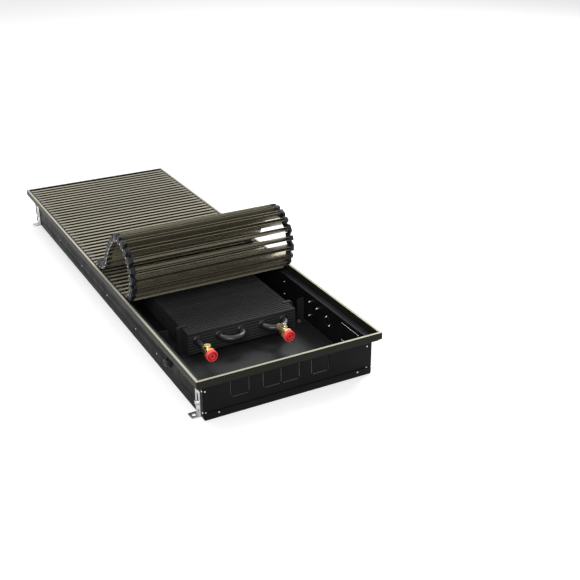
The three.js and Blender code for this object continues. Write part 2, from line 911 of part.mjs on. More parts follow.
// Each hinge is a group inside the one before it, turned by its own angle, as the chain is.
let hinge = new THREE.Group();
hinge.position.set(0, foldHingeY, hingeLevel);
heater.add(hinge);
solveTurns().forEach((turn, index) => {
  hinge.rotation.x = -THREE.MathUtils.degToRad(turn);
  const pinned = index % 2 === 0;
  const free = index === movingCount - 1;
  const geometry = pinned ? (free ? pinnedEndSlat : pinnedSlat) : free ? holedEndSlat : holedSlat;
  const slat = new THREE.Mesh(geometry, anodised);
  slat.name = "slat_" + String(index + 1).padStart(2, "0");
  slat.position.set(0, -slatPitch / 2, -hingeHeight);
  hinge.add(slat);
  const next = new THREE.Group();
  next.position.set(0, -slatPitch, 0);
  hinge.add(next);
  hinge = next;
});

export default heater;
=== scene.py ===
"""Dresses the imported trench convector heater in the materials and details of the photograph.

Metres, +Z up, X across the heater and Y along it towards the rear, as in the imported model.
Sizes are written in millimetres and turned into metres by MM.
"""

import json
import math

import bmesh
import bpy
from mathutils import Matrix, Vector


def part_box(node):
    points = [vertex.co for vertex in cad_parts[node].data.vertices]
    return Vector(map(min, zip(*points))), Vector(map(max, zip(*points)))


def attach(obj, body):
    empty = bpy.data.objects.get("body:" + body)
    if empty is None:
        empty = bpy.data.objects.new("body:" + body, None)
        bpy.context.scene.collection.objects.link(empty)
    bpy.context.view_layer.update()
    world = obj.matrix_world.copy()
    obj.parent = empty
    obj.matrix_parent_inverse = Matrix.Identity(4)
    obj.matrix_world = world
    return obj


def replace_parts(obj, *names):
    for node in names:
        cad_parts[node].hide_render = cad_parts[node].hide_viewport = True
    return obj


MM = 0.001

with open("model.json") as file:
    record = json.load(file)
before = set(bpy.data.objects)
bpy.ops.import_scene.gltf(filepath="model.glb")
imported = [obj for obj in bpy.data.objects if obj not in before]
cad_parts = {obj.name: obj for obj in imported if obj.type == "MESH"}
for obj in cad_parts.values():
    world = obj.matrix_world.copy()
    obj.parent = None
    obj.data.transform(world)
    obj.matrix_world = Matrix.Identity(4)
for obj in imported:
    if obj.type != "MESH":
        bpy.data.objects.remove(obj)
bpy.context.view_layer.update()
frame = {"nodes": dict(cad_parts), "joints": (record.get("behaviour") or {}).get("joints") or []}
NODES = frame["nodes"]

# Camera, solved from the corners of the frame in the photograph
IMAGE_WIDTH_PX = 580
FOCAL_LENGTH_PX = 963.52
SENSOR_MM = 36.0
CAMERA_AT = Vector((-0.7951, -2.0948, 1.0368))
CAMERA_AZIMUTH = 28.19  # degrees, as are the next two
CAMERA_DOWN = 25.38
CAMERA_ROLL = -0.34
CAMERA_REACH = 50


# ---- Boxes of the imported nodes, from which the pieces take their places ----


class Span:
    """Low and high corners of a node's box, with its middle and size, in metres."""

    def __init__(self, node):
        self.low, self.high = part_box(node)
        self.middle = (self.low + self.high) / 2
        self.size = self.high - self.low


FLOOR_SHEET = Span("casing_floor")
WALL = Span("side_panel_right")
SEAT = Span("grille_seat")
FRONT_BAR = Span("frame_front")
LEFT_BAR = Span("frame_left")
PACK = Span("fin_pack")
GRILLE = Span("lying_grille")
COIL = Span("coil_tube")

SHEET = 1.5 * MM
GAP = 0.3 * MM  # between pieces that touch
NEAR_AXIS = 0.01 * MM  # radius that stands in for zero in a turned profile


# ---- Mesh helpers ----


def new_piece(name, mesh, look, body):
    piece = bpy.data.objects.new(name, mesh)
    bpy.context.scene.collection.objects.link(piece)
    piece.data.materials.clear()
    piece.data.materials.append(look)
    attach(piece, body)
    return piece


def mesh_from(bm, name, smooth_below=40):
    """Turns a bmesh into a mesh, shaded smooth across edges flatter than smooth_below degrees."""
    bmesh.ops.recalc_face_normals(bm, faces=bm.faces)
    mesh = bpy.data.meshes.new(name)
    bm.to_mesh(mesh)
    bm.free()
    for face in mesh.polygons:
        face.use_smooth = True
    mesh.set_sharp_from_angle(angle=math.radians(smooth_below))
    return mesh


def piece_from(bm, name, look, body, smooth_below=32):
    return new_piece(name, mesh_from(bm, name, smooth_below), look, body)


def bevelled(bm, width, segments=2, sharper_than=35):
    """Rounds the edges of a bmesh that turn more than sharper_than degrees."""
    limit = math.radians(sharper_than)
    edges = [e for e in bm.edges if e.is_manifold and e.calc_face_angle(0) > limit]
    bmesh.ops.bevel(bm, geom=edges, offset=width, segments=segments, profile=0.5,
                    affect="EDGES", clamp_overlap=True)


def swept(bm, rings):
    """Joins rings of points, each with as many points, into one skin with flat ends."""
    rows = [[bm.verts.new(point) for point in ring] for ring in rings]
    count = len(rows[0])
    for near, far in zip(rows, rows[1:]):
        for i in range(count):
            j = (i + 1) % count
            bm.faces.new((near[i], near[j], far[j], far[i]))
    bm.faces.new(reversed(rows[0]))
    bm.faces.new(rows[-1])


def extruded(bm, outline, place, low, high):
    """Draws an outline of (u, v) from low to high; place(u, v, t) gives the point."""
    swept(bm, [[place(u, v, t) for u, v in outline] for t in (low, high)])


def softened(outline, place, low, high, width, segments=2):
    """A bmesh of its own for an extruded outline with bevelled edges."""
    part = bmesh.new()
    extruded(part, outline, place, low, high)
    bmesh.ops.recalc_face_normals(part, faces=part.faces)
    bevelled(part, width, segments)
    return part


def merged(part, bm, matrix=Matrix()):
    """Moves a bmesh by matrix, adds it to another and frees it."""
    bmesh.ops.transform(part, matrix=matrix, verts=part.verts)
    mesh = bpy.data.meshes.new("part")
    part.to_mesh(mesh)
    part.free()
    bm.from_mesh(mesh)
    bpy.data.meshes.remove(mesh)


def circle(radius, count):
    step = 2 * math.pi / count
    return [(radius * math.cos(i * step), radius * math.sin(i * step)) for i in range(count)]


def turned(bm, profile, place, sides):
    """A turned solid with flat ends: profile is [(radius, distance along the axis), ...]."""
    rings = []
    for radius, along in profile:
        rings.append([place(u, v, along) for u, v in circle(max(radius, NEAR_AXIS), sides)])
    swept(bm, rings)


def along_x(centre):
    """Places (u, v, t) with the axis along X through centre (y, z)."""
    return lambda u, v, t: (t, centre[0] + u, centre[1] + v)


ACROSS_HEATER = along_x((0, 0))


def along_y(centre):
    """Places (u, v, t) with the axis along Y through centre (x, z)."""
    return lambda u, v, t: (centre[0] + u, t, centre[1] + v)


def along_z(centre):
    """Places (u, v, t) with the axis along Z through centre (x, y)."""
    return lambda u, v, t: (centre[0] + u, centre[1] + v, t)


def rounded(points, radii, steps=3):
    """An outline of (u, v) points with each corner rounded by its own radius."""
    result = []
    count = len(points)
    for i, size in enumerate(radii):
        corner = Vector(points[i])
        if size <= 0:
            result.append(tuple(corner))
            continue
        before = (Vector(points[i - 1]) - corner).normalized()
        after = (Vector(points[(i + 1) % count]) - corner).normalized()
        half = before.angle(after) / 2
        reach = size / math.tan(half)
        start, end = corner + before * reach, corner + after * reach
        for step in range(steps + 1):
            t = step / steps
            point = start * (1 - t) ** 2 + corner * 2 * t * (1 - t) + end * t * t
            result.append(tuple(point))
    return result


def plate(name, outline, holes, thickness, place, edge=0.25 * MM):
    """A flat sheet with holes and softened edges, as a mesh.

    outline and holes hold (u, v) points; place maps (u, v, w) to a point, with w from 0 to
    thickness.
    """
    curve = bpy.data.curves.new(name, "CURVE")
    curve.dimensions = "2D"
    curve.fill_mode = "BOTH"
    curve.extrude = thickness / 2 - edge
    curve.bevel_depth = edge
    curve.bevel_resolution = 1
    curve.offset = -edge
    for points in [outline, *holes]:
        spline = curve.splines.new("POLY")
        spline.points.add(len(points) - 1)
        for spot, (u, v) in zip(spline.points, points):
            spot.co = (u, v, 0, 1)
        spline.use_cyclic_u = True
    holder = bpy.data.objects.new(name, curve)
    bpy.context.scene.collection.objects.link(holder)
    mesh = bpy.data.meshes.new_from_object(holder)
    bpy.data.objects.remove(holder)
    for vertex in mesh.vertices:
        u, v, w = vertex.co
        vertex.co = place(u, v, w + thickness / 2)
    bm = bmesh.new()
    bm.from_mesh(mesh)
    bmesh.ops.remove_doubles(bm, verts=bm.verts, dist=1e-6)
    return mesh_from(bm, name, 30)


def joined(name, meshes):
    bm = bmesh.new()
    for mesh in meshes:
        bm.from_mesh(mesh)
    made = bpy.data.meshes.new(name)
    bm.to_mesh(made)
    bm.free()
    return made


def rectangle(low, high):
    return [(low[0], low[1]), (high[0], low[1]), (high[0], high[1]), (low[0], high[1])]


# ---- Materials ----


class Look:
    """A material under construction: adds nodes and links them by name."""

    def __init__(self, name, roughness, metallic, **sockets):
        self.material = bpy.data.materials.new(name)
        self.material.use_nodes = True
        self.tree = self.material.node_tree
        self.shader = self.tree.nodes["Principled BSDF"]
        self.shader.inputs["Roughness"].default_value = roughness
        self.shader.inputs["Metallic"].default_value = metallic
        for socket, value in sockets.items():
            self.shader.inputs[socket.replace("_", " ")].default_value = value

    def add(self, kind, **values):
        node = self.tree.nodes.new(kind)
        for key, value in values.items():
            if key in node.inputs:
                node.inputs[key].default_value = value
            else:
                setattr(node, key, value)
        return node

    def link(self, source, target):
        self.tree.links.new(source, target)

    def place(self, stretch=(1, 1, 1)):
        """Object coordinates, squeezed by stretch so that a grain runs along one axis."""
        where = self.add("ShaderNodeTexCoord")
        scaled = self.add("ShaderNodeMapping")
        scaled.inputs["Scale"].default_value = stretch
        self.link(where.outputs["Object"], scaled.inputs["Vector"])
        return scaled.outputs["Vector"]

    def noise(self, scale, detail=3, stretch=(1, 1, 1), roughness=0.5):
        node = self.add("ShaderNodeTexNoise", Scale=scale, Detail=detail, Roughness=roughness)
        self.link(self.place(stretch), node.inputs["Vector"])
        return node.outputs["Fac"]

    def colour_between(self, source, dark, light):
        """Base colour that runs from dark to light over the middle of a noise."""
        ramp = self.add("ShaderNodeValToRGB")
        first, last = ramp.color_ramp.elements
        first.position, first.color = 0.35, (*dark, 1)
        last.position, last.color = 0.65, (*light, 1)
        self.link(source, ramp.inputs["Fac"])
        self.link(ramp.outputs["Color"], self.shader.inputs["Base Color"])

    def vary_roughness(self, source, low, high):
        """Roughness that runs from low to high over the middle of a noise."""
        span = {"From Min": 0.3, "From Max": 0.7, "To Min": low, "To Max": high}
        node = self.add("ShaderNodeMapRange", **span)
        self.link(source, node.inputs["Value"])
        self.link(node.outputs["Result"], self.shader.inputs["Roughness"])

    def bump(self, source, strength, depth=0.1 * MM):
        node = self.add("ShaderNodeBump", Strength=strength, Distance=depth)
        self.link(source, node.inputs["Height"])
        self.link(node.outputs["Normal"], self.shader.inputs["Normal"])


def shade(colour, factor):
    return tuple(channel * factor for channel in colour)


def powder_coat(name, colour, roughness, gloss=0.22):
    """Black powder coat: fine orange peel, slightly uneven sheen and faint handling marks."""
    look = Look(name, roughness, 0.0, Specular_IOR_Level=gloss)
    cloud = look.noise(9, 4)
    look.colour_between(cloud, shade(colour, 0.85), shade(colour, 1.2))
    look.vary_roughness(look.noise(30, 5), roughness - 0.06, roughness + 0.08)
    look.bump(look.noise(1400, 2), 0.25)
    return look.material


def anodised(name, colour, roughness, along, metal, gloss=0.5):
    """Satin anodised aluminium, with the drawing lines of the extrusion along one axis."""
    look = Look(name, roughness, metal, Specular_IOR_Level=gloss)
    lines = look.noise(1500, 3, along, 0.6)
    cloud = look.noise(14, 3, along)
    mixed = look.add("ShaderNodeMix", data_type="FLOAT")
    mixed.inputs["Factor"].default_value = 0.35
    look.link(cloud, mixed.inputs["A"])
    look.link(lines, mixed.inputs["B"])
    look.colour_between(mixed.outputs["Result"], shade(colour, 0.86), shade(colour, 1.12))
    look.vary_roughness(lines, roughness - 0.05, roughness + 0.08)
    look.bump(lines, 0.12, 0.04 * MM)
    return look.material


def moulded(name, colour, roughness, gloss):
    """Moulded plastic with a faint spark-eroded grain."""
    look = Look(name, roughness, 0.0, Specular_IOR_Level=gloss)
    cloud = look.noise(60, 3)
    look.colour_between(cloud, shade(colour, 0.88), shade(colour, 1.12))
    look.vary_roughness(look.noise(200, 3), roughness - 0.05, roughness + 0.08)
    look.bump(look.noise(900, 2), 0.2)
    return look.material


def machined(name, colour, roughness, scale=700):
    """Turned or plated metal, with fine tool marks and uneven tarnish."""
    look = Look(name, roughness, 1.0)
    marks = look.noise(scale, 3, (1, 1, 1), 0.6)
    tarnish = look.noise(90, 4)
    look.colour_between(tarnish, shade(colour, 0.8), shade(colour, 1.08))
    look.vary_roughness(marks, roughness - 0.06, roughness + 0.12)
    look.bump(marks, 0.1, 0.03 * MM)
    return look.material


# The lip's colour is the frame's bronze darkened as painted shade; the next colour is a lighter
# copy for the frame's top faces, as painted light.
LIP_BRONZE_PAINTED_SHADE = (0.0095, 0.0092, 0.0060)
TOP_PAINTED_LIGHT = (0.36, 0.345, 0.26)
ACROSS = (0.02, 1, 1)  # stretch of a grain that runs along X
ALONG = (1, 0.02, 1)  # and along Y

BLACK_STEEL = powder_coat("black_powder_coat", (0.0042, 0.0043, 0.0048), 0.5, 0.07)
# Near-black coat on the slits' upright sides, as painted shade, so the slits read as dark gaps.
SLIT_PAINTED_SHADE = powder_coat("slit_sides_painted_shade", (0.0012, 0.0012, 0.0014), 0.7, 0.02)
BLACK_FLOOR = powder_coat("black_tray_floor", (0.010, 0.0102, 0.0112), 0.45, 0.2)
BRACKET_COAT = powder_coat("bracket_coat", (0.017, 0.0172, 0.0182), 0.42, 0.3)
SEAT_COAT = powder_coat("seat_strip_coat", (0.009, 0.010, 0.013), 0.5)
FIN_COAT = powder_coat("black_fin_coat", (0.018, 0.0184, 0.0190), 0.5)
TUBE_COAT = powder_coat("black_tube_coat", (0.011, 0.011, 0.012), 0.3, 0.45)
FRAME_ALONG_X = anodised("frame_anodised_painted_shade_across", LIP_BRONZE_PAINTED_SHADE, 0.45, ACROSS, 0.1, 0.12)
FRAME_ALONG_Y = anodised("frame_anodised_painted_shade_along", LIP_BRONZE_PAINTED_SHADE, 0.45, ALONG, 0.1, 0.12)
FRAME_PAINTED_LIGHT_X = anodised("frame_top_painted_light_across", TOP_PAINTED_LIGHT, 0.42, ACROSS, 0.3)
FRAME_PAINTED_LIGHT_Y = anodised("frame_top_painted_light_along", TOP_PAINTED_LIGHT, 0.42, ALONG, 0.3)
SLAT_SIDE = anodised("slat_side_bronze", (0.17, 0.154, 0.110), 0.27, ACROSS, 0.75)
# Sides of the slats that lie in the frame: the slats' bronze darkened as painted shade.
SLAT_SIDE_PAINTED_SHADE = anodised("slat_side_painted_shade", (0.018, 0.0163, 0.0110), 0.45, ACROSS, 0.3, 0.2)
# Slat tops are a lighter copy of the slats' anodising, as painted light.
SLAT_TOP_PAINTED_LIGHT = anodised("slat_top_painted_light", (0.27, 0.25, 0.183), 0.34, ACROSS, 0.75)
LINK_PLASTIC = moulded("link_plastic", (0.0080, 0.0084, 0.0096), 0.48, 0.22)
GLAND_PLASTIC = moulded("gland_plastic", (0.010, 0.010, 0.011), 0.45, 0.3)
CAP_RED = moulded("cap_red", (1.0, 0.085, 0.080), 0.38, 0.4)
# Darker red for the groove round the cap's ring, as painted shade, and for the raised cross.
CAP_SHADE_AND_CROSS_RED = moulded("cap_red_groove_shade_and_cross", (0.40, 0.006, 0.009), 0.5, 0.2)
BRASS = machined("brass", (0.95, 0.72, 0.33), 0.28)
NICKEL = machined("vent_nickel", (0.80, 0.80, 0.79), 0.16)
ZINC = machined("zinc_plate", (0.60, 0.61, 0.60), 0.34, 300)


# ---- Casing: tray, end plates and their knock-outs ----

SLIT = 1.7 * MM
BRIDGE = 3 * MM  # sheet left whole at a knock-out's corners
ARC_BRIDGE = 12  # half of a round knock-out's bridge, in degrees
STRIP_EDGE = 0.35 * MM
WALL_X = WALL.high.x  # outer face of the right wall; the left one mirrors it
WALL_TOP = WALL.high.z
WALL_FOOT = WALL.low.z
END_Y = FLOOR_SHEET.high.y
SILL_TOP = Span("front_sill").high.z
PLATE_FACE = END_Y - SHEET - GAP
FLANGE_FOOT = 4 * MM
FLANGE_REACH = 15 * MM
SIDES = (("left", -1), ("right", 1))
ENDS = (("front", -1), ("rear", 1))

PIPE_KNOCKOUTS = [start * MM for start in (-133, -61.5, -20, 49)]
KNOCKOUT_WIDTH = 40 * MM
KNOCKOUT_FOOT = 36.5 * MM
KNOCKOUT_HEAD = 74 * MM
SIDE_KNOCKOUT = (-570 * MM, -490 * MM, 26 * MM, 67 * MM)
GLAND_Y = -435 * MM
GLAND_Z = 44 * MM
GLAND_HOLE = 8 * MM
ROUND_KNOCKOUT = 12 * MM
FOOT_Y = 585.5 * MM
FOOT_HOLE = 3.4 * MM
BOLT_Z = 28.3 * MM


def panel_slits(low_u, high_u, low_v, high_v):
    """Four slits round a panel, with the sheet left whole at its corners."""
    half = SLIT / 2
    spans = [
        ((low_u + BRIDGE, low_v - half), (high_u - BRIDGE, low_v + half)),
        ((low_u + BRIDGE, high_v - half), (high_u - BRIDGE, high_v + half)),
        ((low_u - half, low_v + BRIDGE), (low_u + half, high_v - BRIDGE)),
        ((high_u - half, low_v + BRIDGE), (high_u + half, high_v - BRIDGE)),
    ]
    return [rectangle(low, high) for low, high in spans]


def arc_slit(centre, radius, start, end, count=14):
    """A slit along an arc, as an outline; angles are in degrees."""
    steps = [math.radians(start + (end - start) * i / count) for i in range(count + 1)]
    inner = radius - SLIT / 2
    outer = radius + SLIT / 2
    there = [(centre[0] + outer * math.cos(a), centre[1] + outer * math.sin(a)) for a in steps]
    back = [(centre[0] + inner * math.cos(a), centre[1] + inner * math.sin(a)) for a in steps]
    return there + back[::-1]


def moved(outline, u, v):
    return [(u + a, v + b) for a, b in outline]


def side_panel_mesh(side, sign):
    """A long wall with its knock-outs and holes."""
    holes = panel_slits(*SIDE_KNOCKOUT)
    for _, end_sign in ENDS:
        holes.append(moved(circle(FOOT_HOLE, 16), end_sign * FOOT_Y, BOLT_Z))
    if side == "left":
        holes.append(moved(circle(GLAND_HOLE, 24), GLAND_Y, GLAND_Z))
    else:
        for turn in (0, 180):
            start, end = turn - 90 + ARC_BRIDGE, turn + 90 - ARC_BRIDGE
            holes.append(arc_slit((GLAND_Y, GLAND_Z), ROUND_KNOCKOUT - SLIT / 2, start, end))
    outline = rectangle((WALL.low.y, WALL_FOOT), (WALL.high.y, WALL_TOP))
    return plate(side + "_panel", outline, holes, SHEET,
                 lambda u, v, w: (sign * (WALL_X - w), u, v))


def end_plate_mesh(end, sign):
    """An end plate with its row of pipe knock-outs, and a flange at each side."""
    half = Span("front_end_plate").high.x
    foot = Span("front_end_plate").low.z
    outline = rectangle((-half, foot), (half, WALL_TOP))
    holes = []
    for start in PIPE_KNOCKOUTS:
        holes += panel_slits(start, start + KNOCKOUT_WIDTH, KNOCKOUT_FOOT, KNOCKOUT_HEAD)

    def place(u, v, w):
        return (u, sign * (PLATE_FACE - w), v)

    parts = [plate(end + "_plate_web", outline, shared_slits(holes), SHEET, place)]
    for side, side_sign in SIDES:
        flange = rectangle((0, FLANGE_FOOT), (FLANGE_REACH, WALL_TOP))

        def place_flange(u, v, w, side_sign=side_sign):
            return (side_sign * (half - w), sign * (PLATE_FACE - u), v)

        parts.append(plate(end + "_flange_" + side, flange, [], SHEET, place_flange, STRIP_EDGE))
    return joined(end + "_end_plate_shell", parts)


def shared_slits(holes):
    """Drops slits that lie on one already listed, where two panels share a side."""
    kept = []
    for hole in holes:
        middle = sum((Vector(point) for point in hole), Vector((0, 0))) / len(hole)
        if all((middle - other).length > SLIT for other, _ in kept):
            kept.append((middle, hole))
    return [hole for _, hole in kept]


def two_tone(piece, look, test):
    """Gives the faces that pass test a second material."""
    piece.data.materials.append(look)
    for face in piece.data.polygons:
        if test(face):
            face.material_index = 1


def face_is_slit_side(face):
    """Whether a face of an end plate is an upright side of a slit, away from the flanges."""
    return abs(face.normal.x) > 0.3 and abs(face.center.x) < WALL_X - FLANGE_REACH


def make_casing():
    outline = rectangle((-WALL_X, -END_Y), (WALL_X, END_Y))
    sheet = plate("floor_sheet", outline, [], SHEET, lambda u, v, w: (u, v, w))
    floor = new_piece("floor_sheet", sheet, BLACK_FLOOR, "casing")
    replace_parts(floor, "casing_floor")
    for side, sign in SIDES:
        panel = new_piece(side + "_panel", side_panel_mesh(side, sign), BLACK_STEEL, "casing")
        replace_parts(panel, "side_panel_" + side)
    for end, sign in ENDS:
        sheet = new_piece(end + "_end_sheet", end_plate_mesh(end, sign), BLACK_STEEL, "casing")
        # The slits' upright sides get the near-black coat, as painted shade.
        two_tone(sheet, SLIT_PAINTED_SHADE, face_is_slit_side)
        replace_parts(sheet, end + "_end_plate")
        outline = rectangle((-WALL_X, WALL_FOOT), (WALL_X, SILL_TOP))
        strip = plate(end + "_sill_strip", outline, [], SHEET,
                      lambda u, v, w, sign=sign: (u, sign * (END_Y - w), v), STRIP_EDGE)
        sill = new_piece(end + "_sill_strip", strip, BLACK_STEEL, "casing")
        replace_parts(sill, end + "_sill")


# ---- Frame ----

FRAME_TOP = FRONT_BAR.high.z
FRAME_HALF_X = -LEFT_BAR.low.x
FRAME_HALF_Y = -FRONT_BAR.low.y
LIP_FOOT = FRAME_TOP - 15.5 * MM
LIP_WALL = 3.2 * MM
LIP_SLOPE = 1.8 * MM
LEDGE_FOOT = FRONT_BAR.low.z
LEDGE_OUT = 5 * MM
LEDGE_IN = 6 * MM
PAINTED_LIGHT_DEPTH = 0.3 * MM  # depth of the top band painted lighter, as painted light
MITRE_GAP = 0.12 * MM
SEAT_REACH = 22 * MM  # frame's outer edge to the ring's inner edge

FRAME_SECTION = [  # distance in from the outer edge, height, corner radius in millimetres
    (0, LIP_FOOT, 0.5),
    (LIP_WALL, LIP_FOOT, 0.5),
    (LEDGE_OUT, LIP_FOOT - LIP_SLOPE, 0.4),
    (LEDGE_OUT, LEDGE_FOOT, 0.3),
    (LEDGE_IN, LEDGE_FOOT, 0.3),
    (LEDGE_IN, FRAME_TOP, 0.9),
    (0, FRAME_TOP, 0.9),
]


def frame_bar(name, half_length, place, look, painted_light_look):
    """One mitred bar; place(u, t, z) takes the distance in from the outer edge and along it."""
    corners = [(u, z) for u, z, _ in FRAME_SECTION]
    radii = [radius * MM for _, _, radius in FRAME_SECTION]
    outline = rounded(corners, radii, 4)
    bm = bmesh.new()
    rings = []
    for end in (-1, 1):
        reach = half_length - MITRE_GAP
        rings.append([place(u, end * (reach - u), z) for u, z in outline])
    swept(bm, rings)
    bar = piece_from(bm, name, look, "casing", 50)
    # The top faces get the lighter copy as painted light; the rest keep the darker copy as painted
    # shade.
    two_tone(bar, painted_light_look, lambda face: face.center.z > FRAME_TOP - PAINTED_LIGHT_DEPTH)
    return bar


def make_frame():
    for end, sign in ENDS:

        def place(u, t, z, sign=sign):
            return (t, sign * (FRAME_HALF_Y - u), z)

        bar = frame_bar(end + "_frame_bar", FRAME_HALF_X, place, FRAME_ALONG_X, FRAME_PAINTED_LIGHT_X)
        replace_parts(bar, "frame_" + end)
    for side, sign in SIDES:

        def place(u, t, z, sign=sign):
            return (sign * (FRAME_HALF_X - u), t, z)

        bar = frame_bar(side + "_frame_bar", FRAME_HALF_Y, place, FRAME_ALONG_Y, FRAME_PAINTED_LIGHT_Y)
        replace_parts(bar, "frame_" + side)


def make_seat():
    """Flat ring inside the frame, on which the slats lie."""
    outline = rectangle((SEAT.low.x, SEAT.low.y), (SEAT.high.x, SEAT.high.y))
    half_x, half_y = FRAME_HALF_X - SEAT_REACH, FRAME_HALF_Y - SEAT_REACH
    bay = rectangle((-half_x, -half_y), (half_x, half_y))
    ring = plate("seat_ring", outline, [bay], SEAT.size.z,
                 lambda u, v, w: (u, v, SEAT.low.z + w), 0.3 * MM)
    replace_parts(new_piece("seat_ring", ring, SEAT_COAT, "casing"), "grille_seat")


# ---- Grille ----

PITCH = 20 * MM
SLAT_WIDTH = 8.5 * MM
SLAT_HEIGHT = GRILLE.size.z
SLAT_WALL = 1.2 * MM
SLAT_END = GRILLE.high.x
HINGE_UP = 14 * MM
LEG_END = 189 * MM  # the legs stop here, where the links begin
LINK_OUT = (195.0 * MM, 200.9 * MM)
LINK_IN = (189.1 * MM, 194.7 * MM)
LINK_FOOT = 7.2 * MM  # half the length of a link's flat foot
LINK_LIFT = 0.2 * MM
LINK_HIP = (8.6 * MM, 2.2 * MM)
EYE = 3.46 * MM  # just inside the facets of the solids
EYE_START = -35  # degrees
EYE_SWEEP = 125
EYE_STEPS = 8
EYE_DROP = 0.1 * MM
CAP_STRIP = 1.6 * MM  # thickness of a slat's top where it runs on over the links
PIN = 1.5 * MM
PIN_HEAD = 1.9 * MM


def slat_outline():
    """Channel section open below, with rounded upper corners."""
    w, t = SLAT_WIDTH / 2, SLAT_WALL
    top = SLAT_HEIGHT
    corners = [
        (-w, 0), (-w + t, 0), (-w + t, top - t), (w - t, top - t),
        (w - t, 0), (w, 0), (w, top), (-w, top),
    ]
    radii = [0.35, 0.35, 0.6, 0.6, 0.35, 0.35, 1.1, 1.1]
    return rounded(corners, [radius * MM for radius in radii], 3)


def slat_into(bm, matrix):
    """A slat: the channel between the links, and its top running on over them."""
    slat = bmesh.new()
    extruded(slat, slat_outline(), ACROSS_HEATER, -LEG_END, LEG_END)
    w = SLAT_WIDTH / 2
    foot = SLAT_HEIGHT - CAP_STRIP
    corners = rectangle((-w, foot), (w, SLAT_HEIGHT))
    cap = rounded(corners, [0.3 * MM, 0.3 * MM, 1.1 * MM, 1.1 * MM])
    for sign in (-1, 1):
        extruded(slat, cap, ACROSS_HEATER, sign * LEG_END, sign * SLAT_END)
    merged(slat, bm, matrix)


def link_outline():
    """Side of a link: a foot under the slat and an eye at each hinge."""
    half = PITCH / 2
    rise = HINGE_UP - EYE_DROP
    points = [(-LINK_FOOT, LINK_LIFT), (LINK_FOOT, LINK_LIFT), LINK_HIP]
    for i in range(EYE_STEPS + 1):
        angle = math.radians(EYE_START + i * EYE_SWEEP / EYE_STEPS)
        points.append((half + EYE * math.cos(angle), rise + EYE * math.sin(angle)))
    mirrored = [(-u, v) for u, v in reversed(points[2:])]
    return points + mirrored


def block_outline():
    """The link's boss that fills the end of the channel."""
    w = SLAT_WIDTH / 2 + 1.4 * MM
    corners = rectangle((-w, 0.0), (w, SLAT_HEIGHT - 2.0 * MM))
    return rounded(corners, [1.0 * MM, 1.0 * MM, 0.5 * MM, 0.5 * MM], 2)


def links_into(bm, matrix, outer):
    """The links at both ends of one slat, with their eyes outside or inside the neighbours'."""
    own = LINK_OUT if outer else LINK_IN
    for sign in (-1, 1):
        near, far = sign * own[0], sign * own[1]
        merged(softened(link_outline(), ACROSS_HEATER, near, far, 0.5 * MM), bm, matrix)
        near, far = sign * (LINK_IN[0] + 0.1 * MM), sign * (LINK_OUT[1] - 0.2 * MM)
        merged(softened(block_outline(), ACROSS_HEATER, near, far, 0.4 * MM), bm, matrix)


def pins_into(bm, matrix):
    """Steel pins through both hinges of a slat that carries them, with domed heads."""
    for sign in (-1, 1):
        for y in (-PITCH / 2, PITCH / 2):
            profile = [
                (0, LINK_OUT[1] + 0.5 * MM), (1.2 * MM, LINK_OUT[1] + 0.45 * MM),
                (PIN_HEAD, LINK_OUT[1] + 0.1 * MM), (PIN_HEAD, LINK_OUT[1] - 0.4 * MM),
                (PIN, LINK_OUT[1] - 0.4 * MM), (PIN, LINK_IN[0]), (0, LINK_IN[0]),
            ]
            pin = bmesh.new()
            turned(pin, [(r, sign * t) for r, t in profile], along_x((y, HINGE_UP)), 12)
            merged(pin, bm, matrix)


def hinge_joints():
    """The grille's hinges in order, from the lying part to the free end."""
    joints = {joint["name"]: joint for joint in frame["joints"]}
    names = sorted(name for name in joints if name.startswith("grille_hinge_"))
    return [joints[name] for name in names]


def folded_places():
    """(body, matrix) of each moving slat at rest, from the hinges and their turns."""
    angle = 0.0
    places = []
    for joint in hinge_joints():
        low, high = joint["range_deg"]
        angle += math.radians(low + high)
        at_hinge = Matrix.Translation(Vector(joint["pos_m"]))
        turn = Matrix.Rotation(-angle, 4, "X")
        inward = Matrix.Translation(Vector((0, -PITCH / 2, -HINGE_UP)))
        places.append((joint["child"], at_hinge @ turn @ inward))
    return places


def lying_places():
    """Place of each slat that stays in the frame, from the first hinge to the rear."""
    count = round((GRILLE.high.y - hinge_joints()[0]["pos_m"][1]) / PITCH)
    first = hinge_joints()[0]["pos_m"][1] + PITCH / 2
    foot = GRILLE.low.z
    return [Matrix.Translation(Vector((0, first + i * PITCH, foot))) for i in range(count)]


def face_is_top(face, up, middle):
    """Whether a face is on the outside of a slat's top, whose channel opens the other way."""
    return face.normal.dot(up) > 0.6 and (face.center - middle).dot(up) > 0


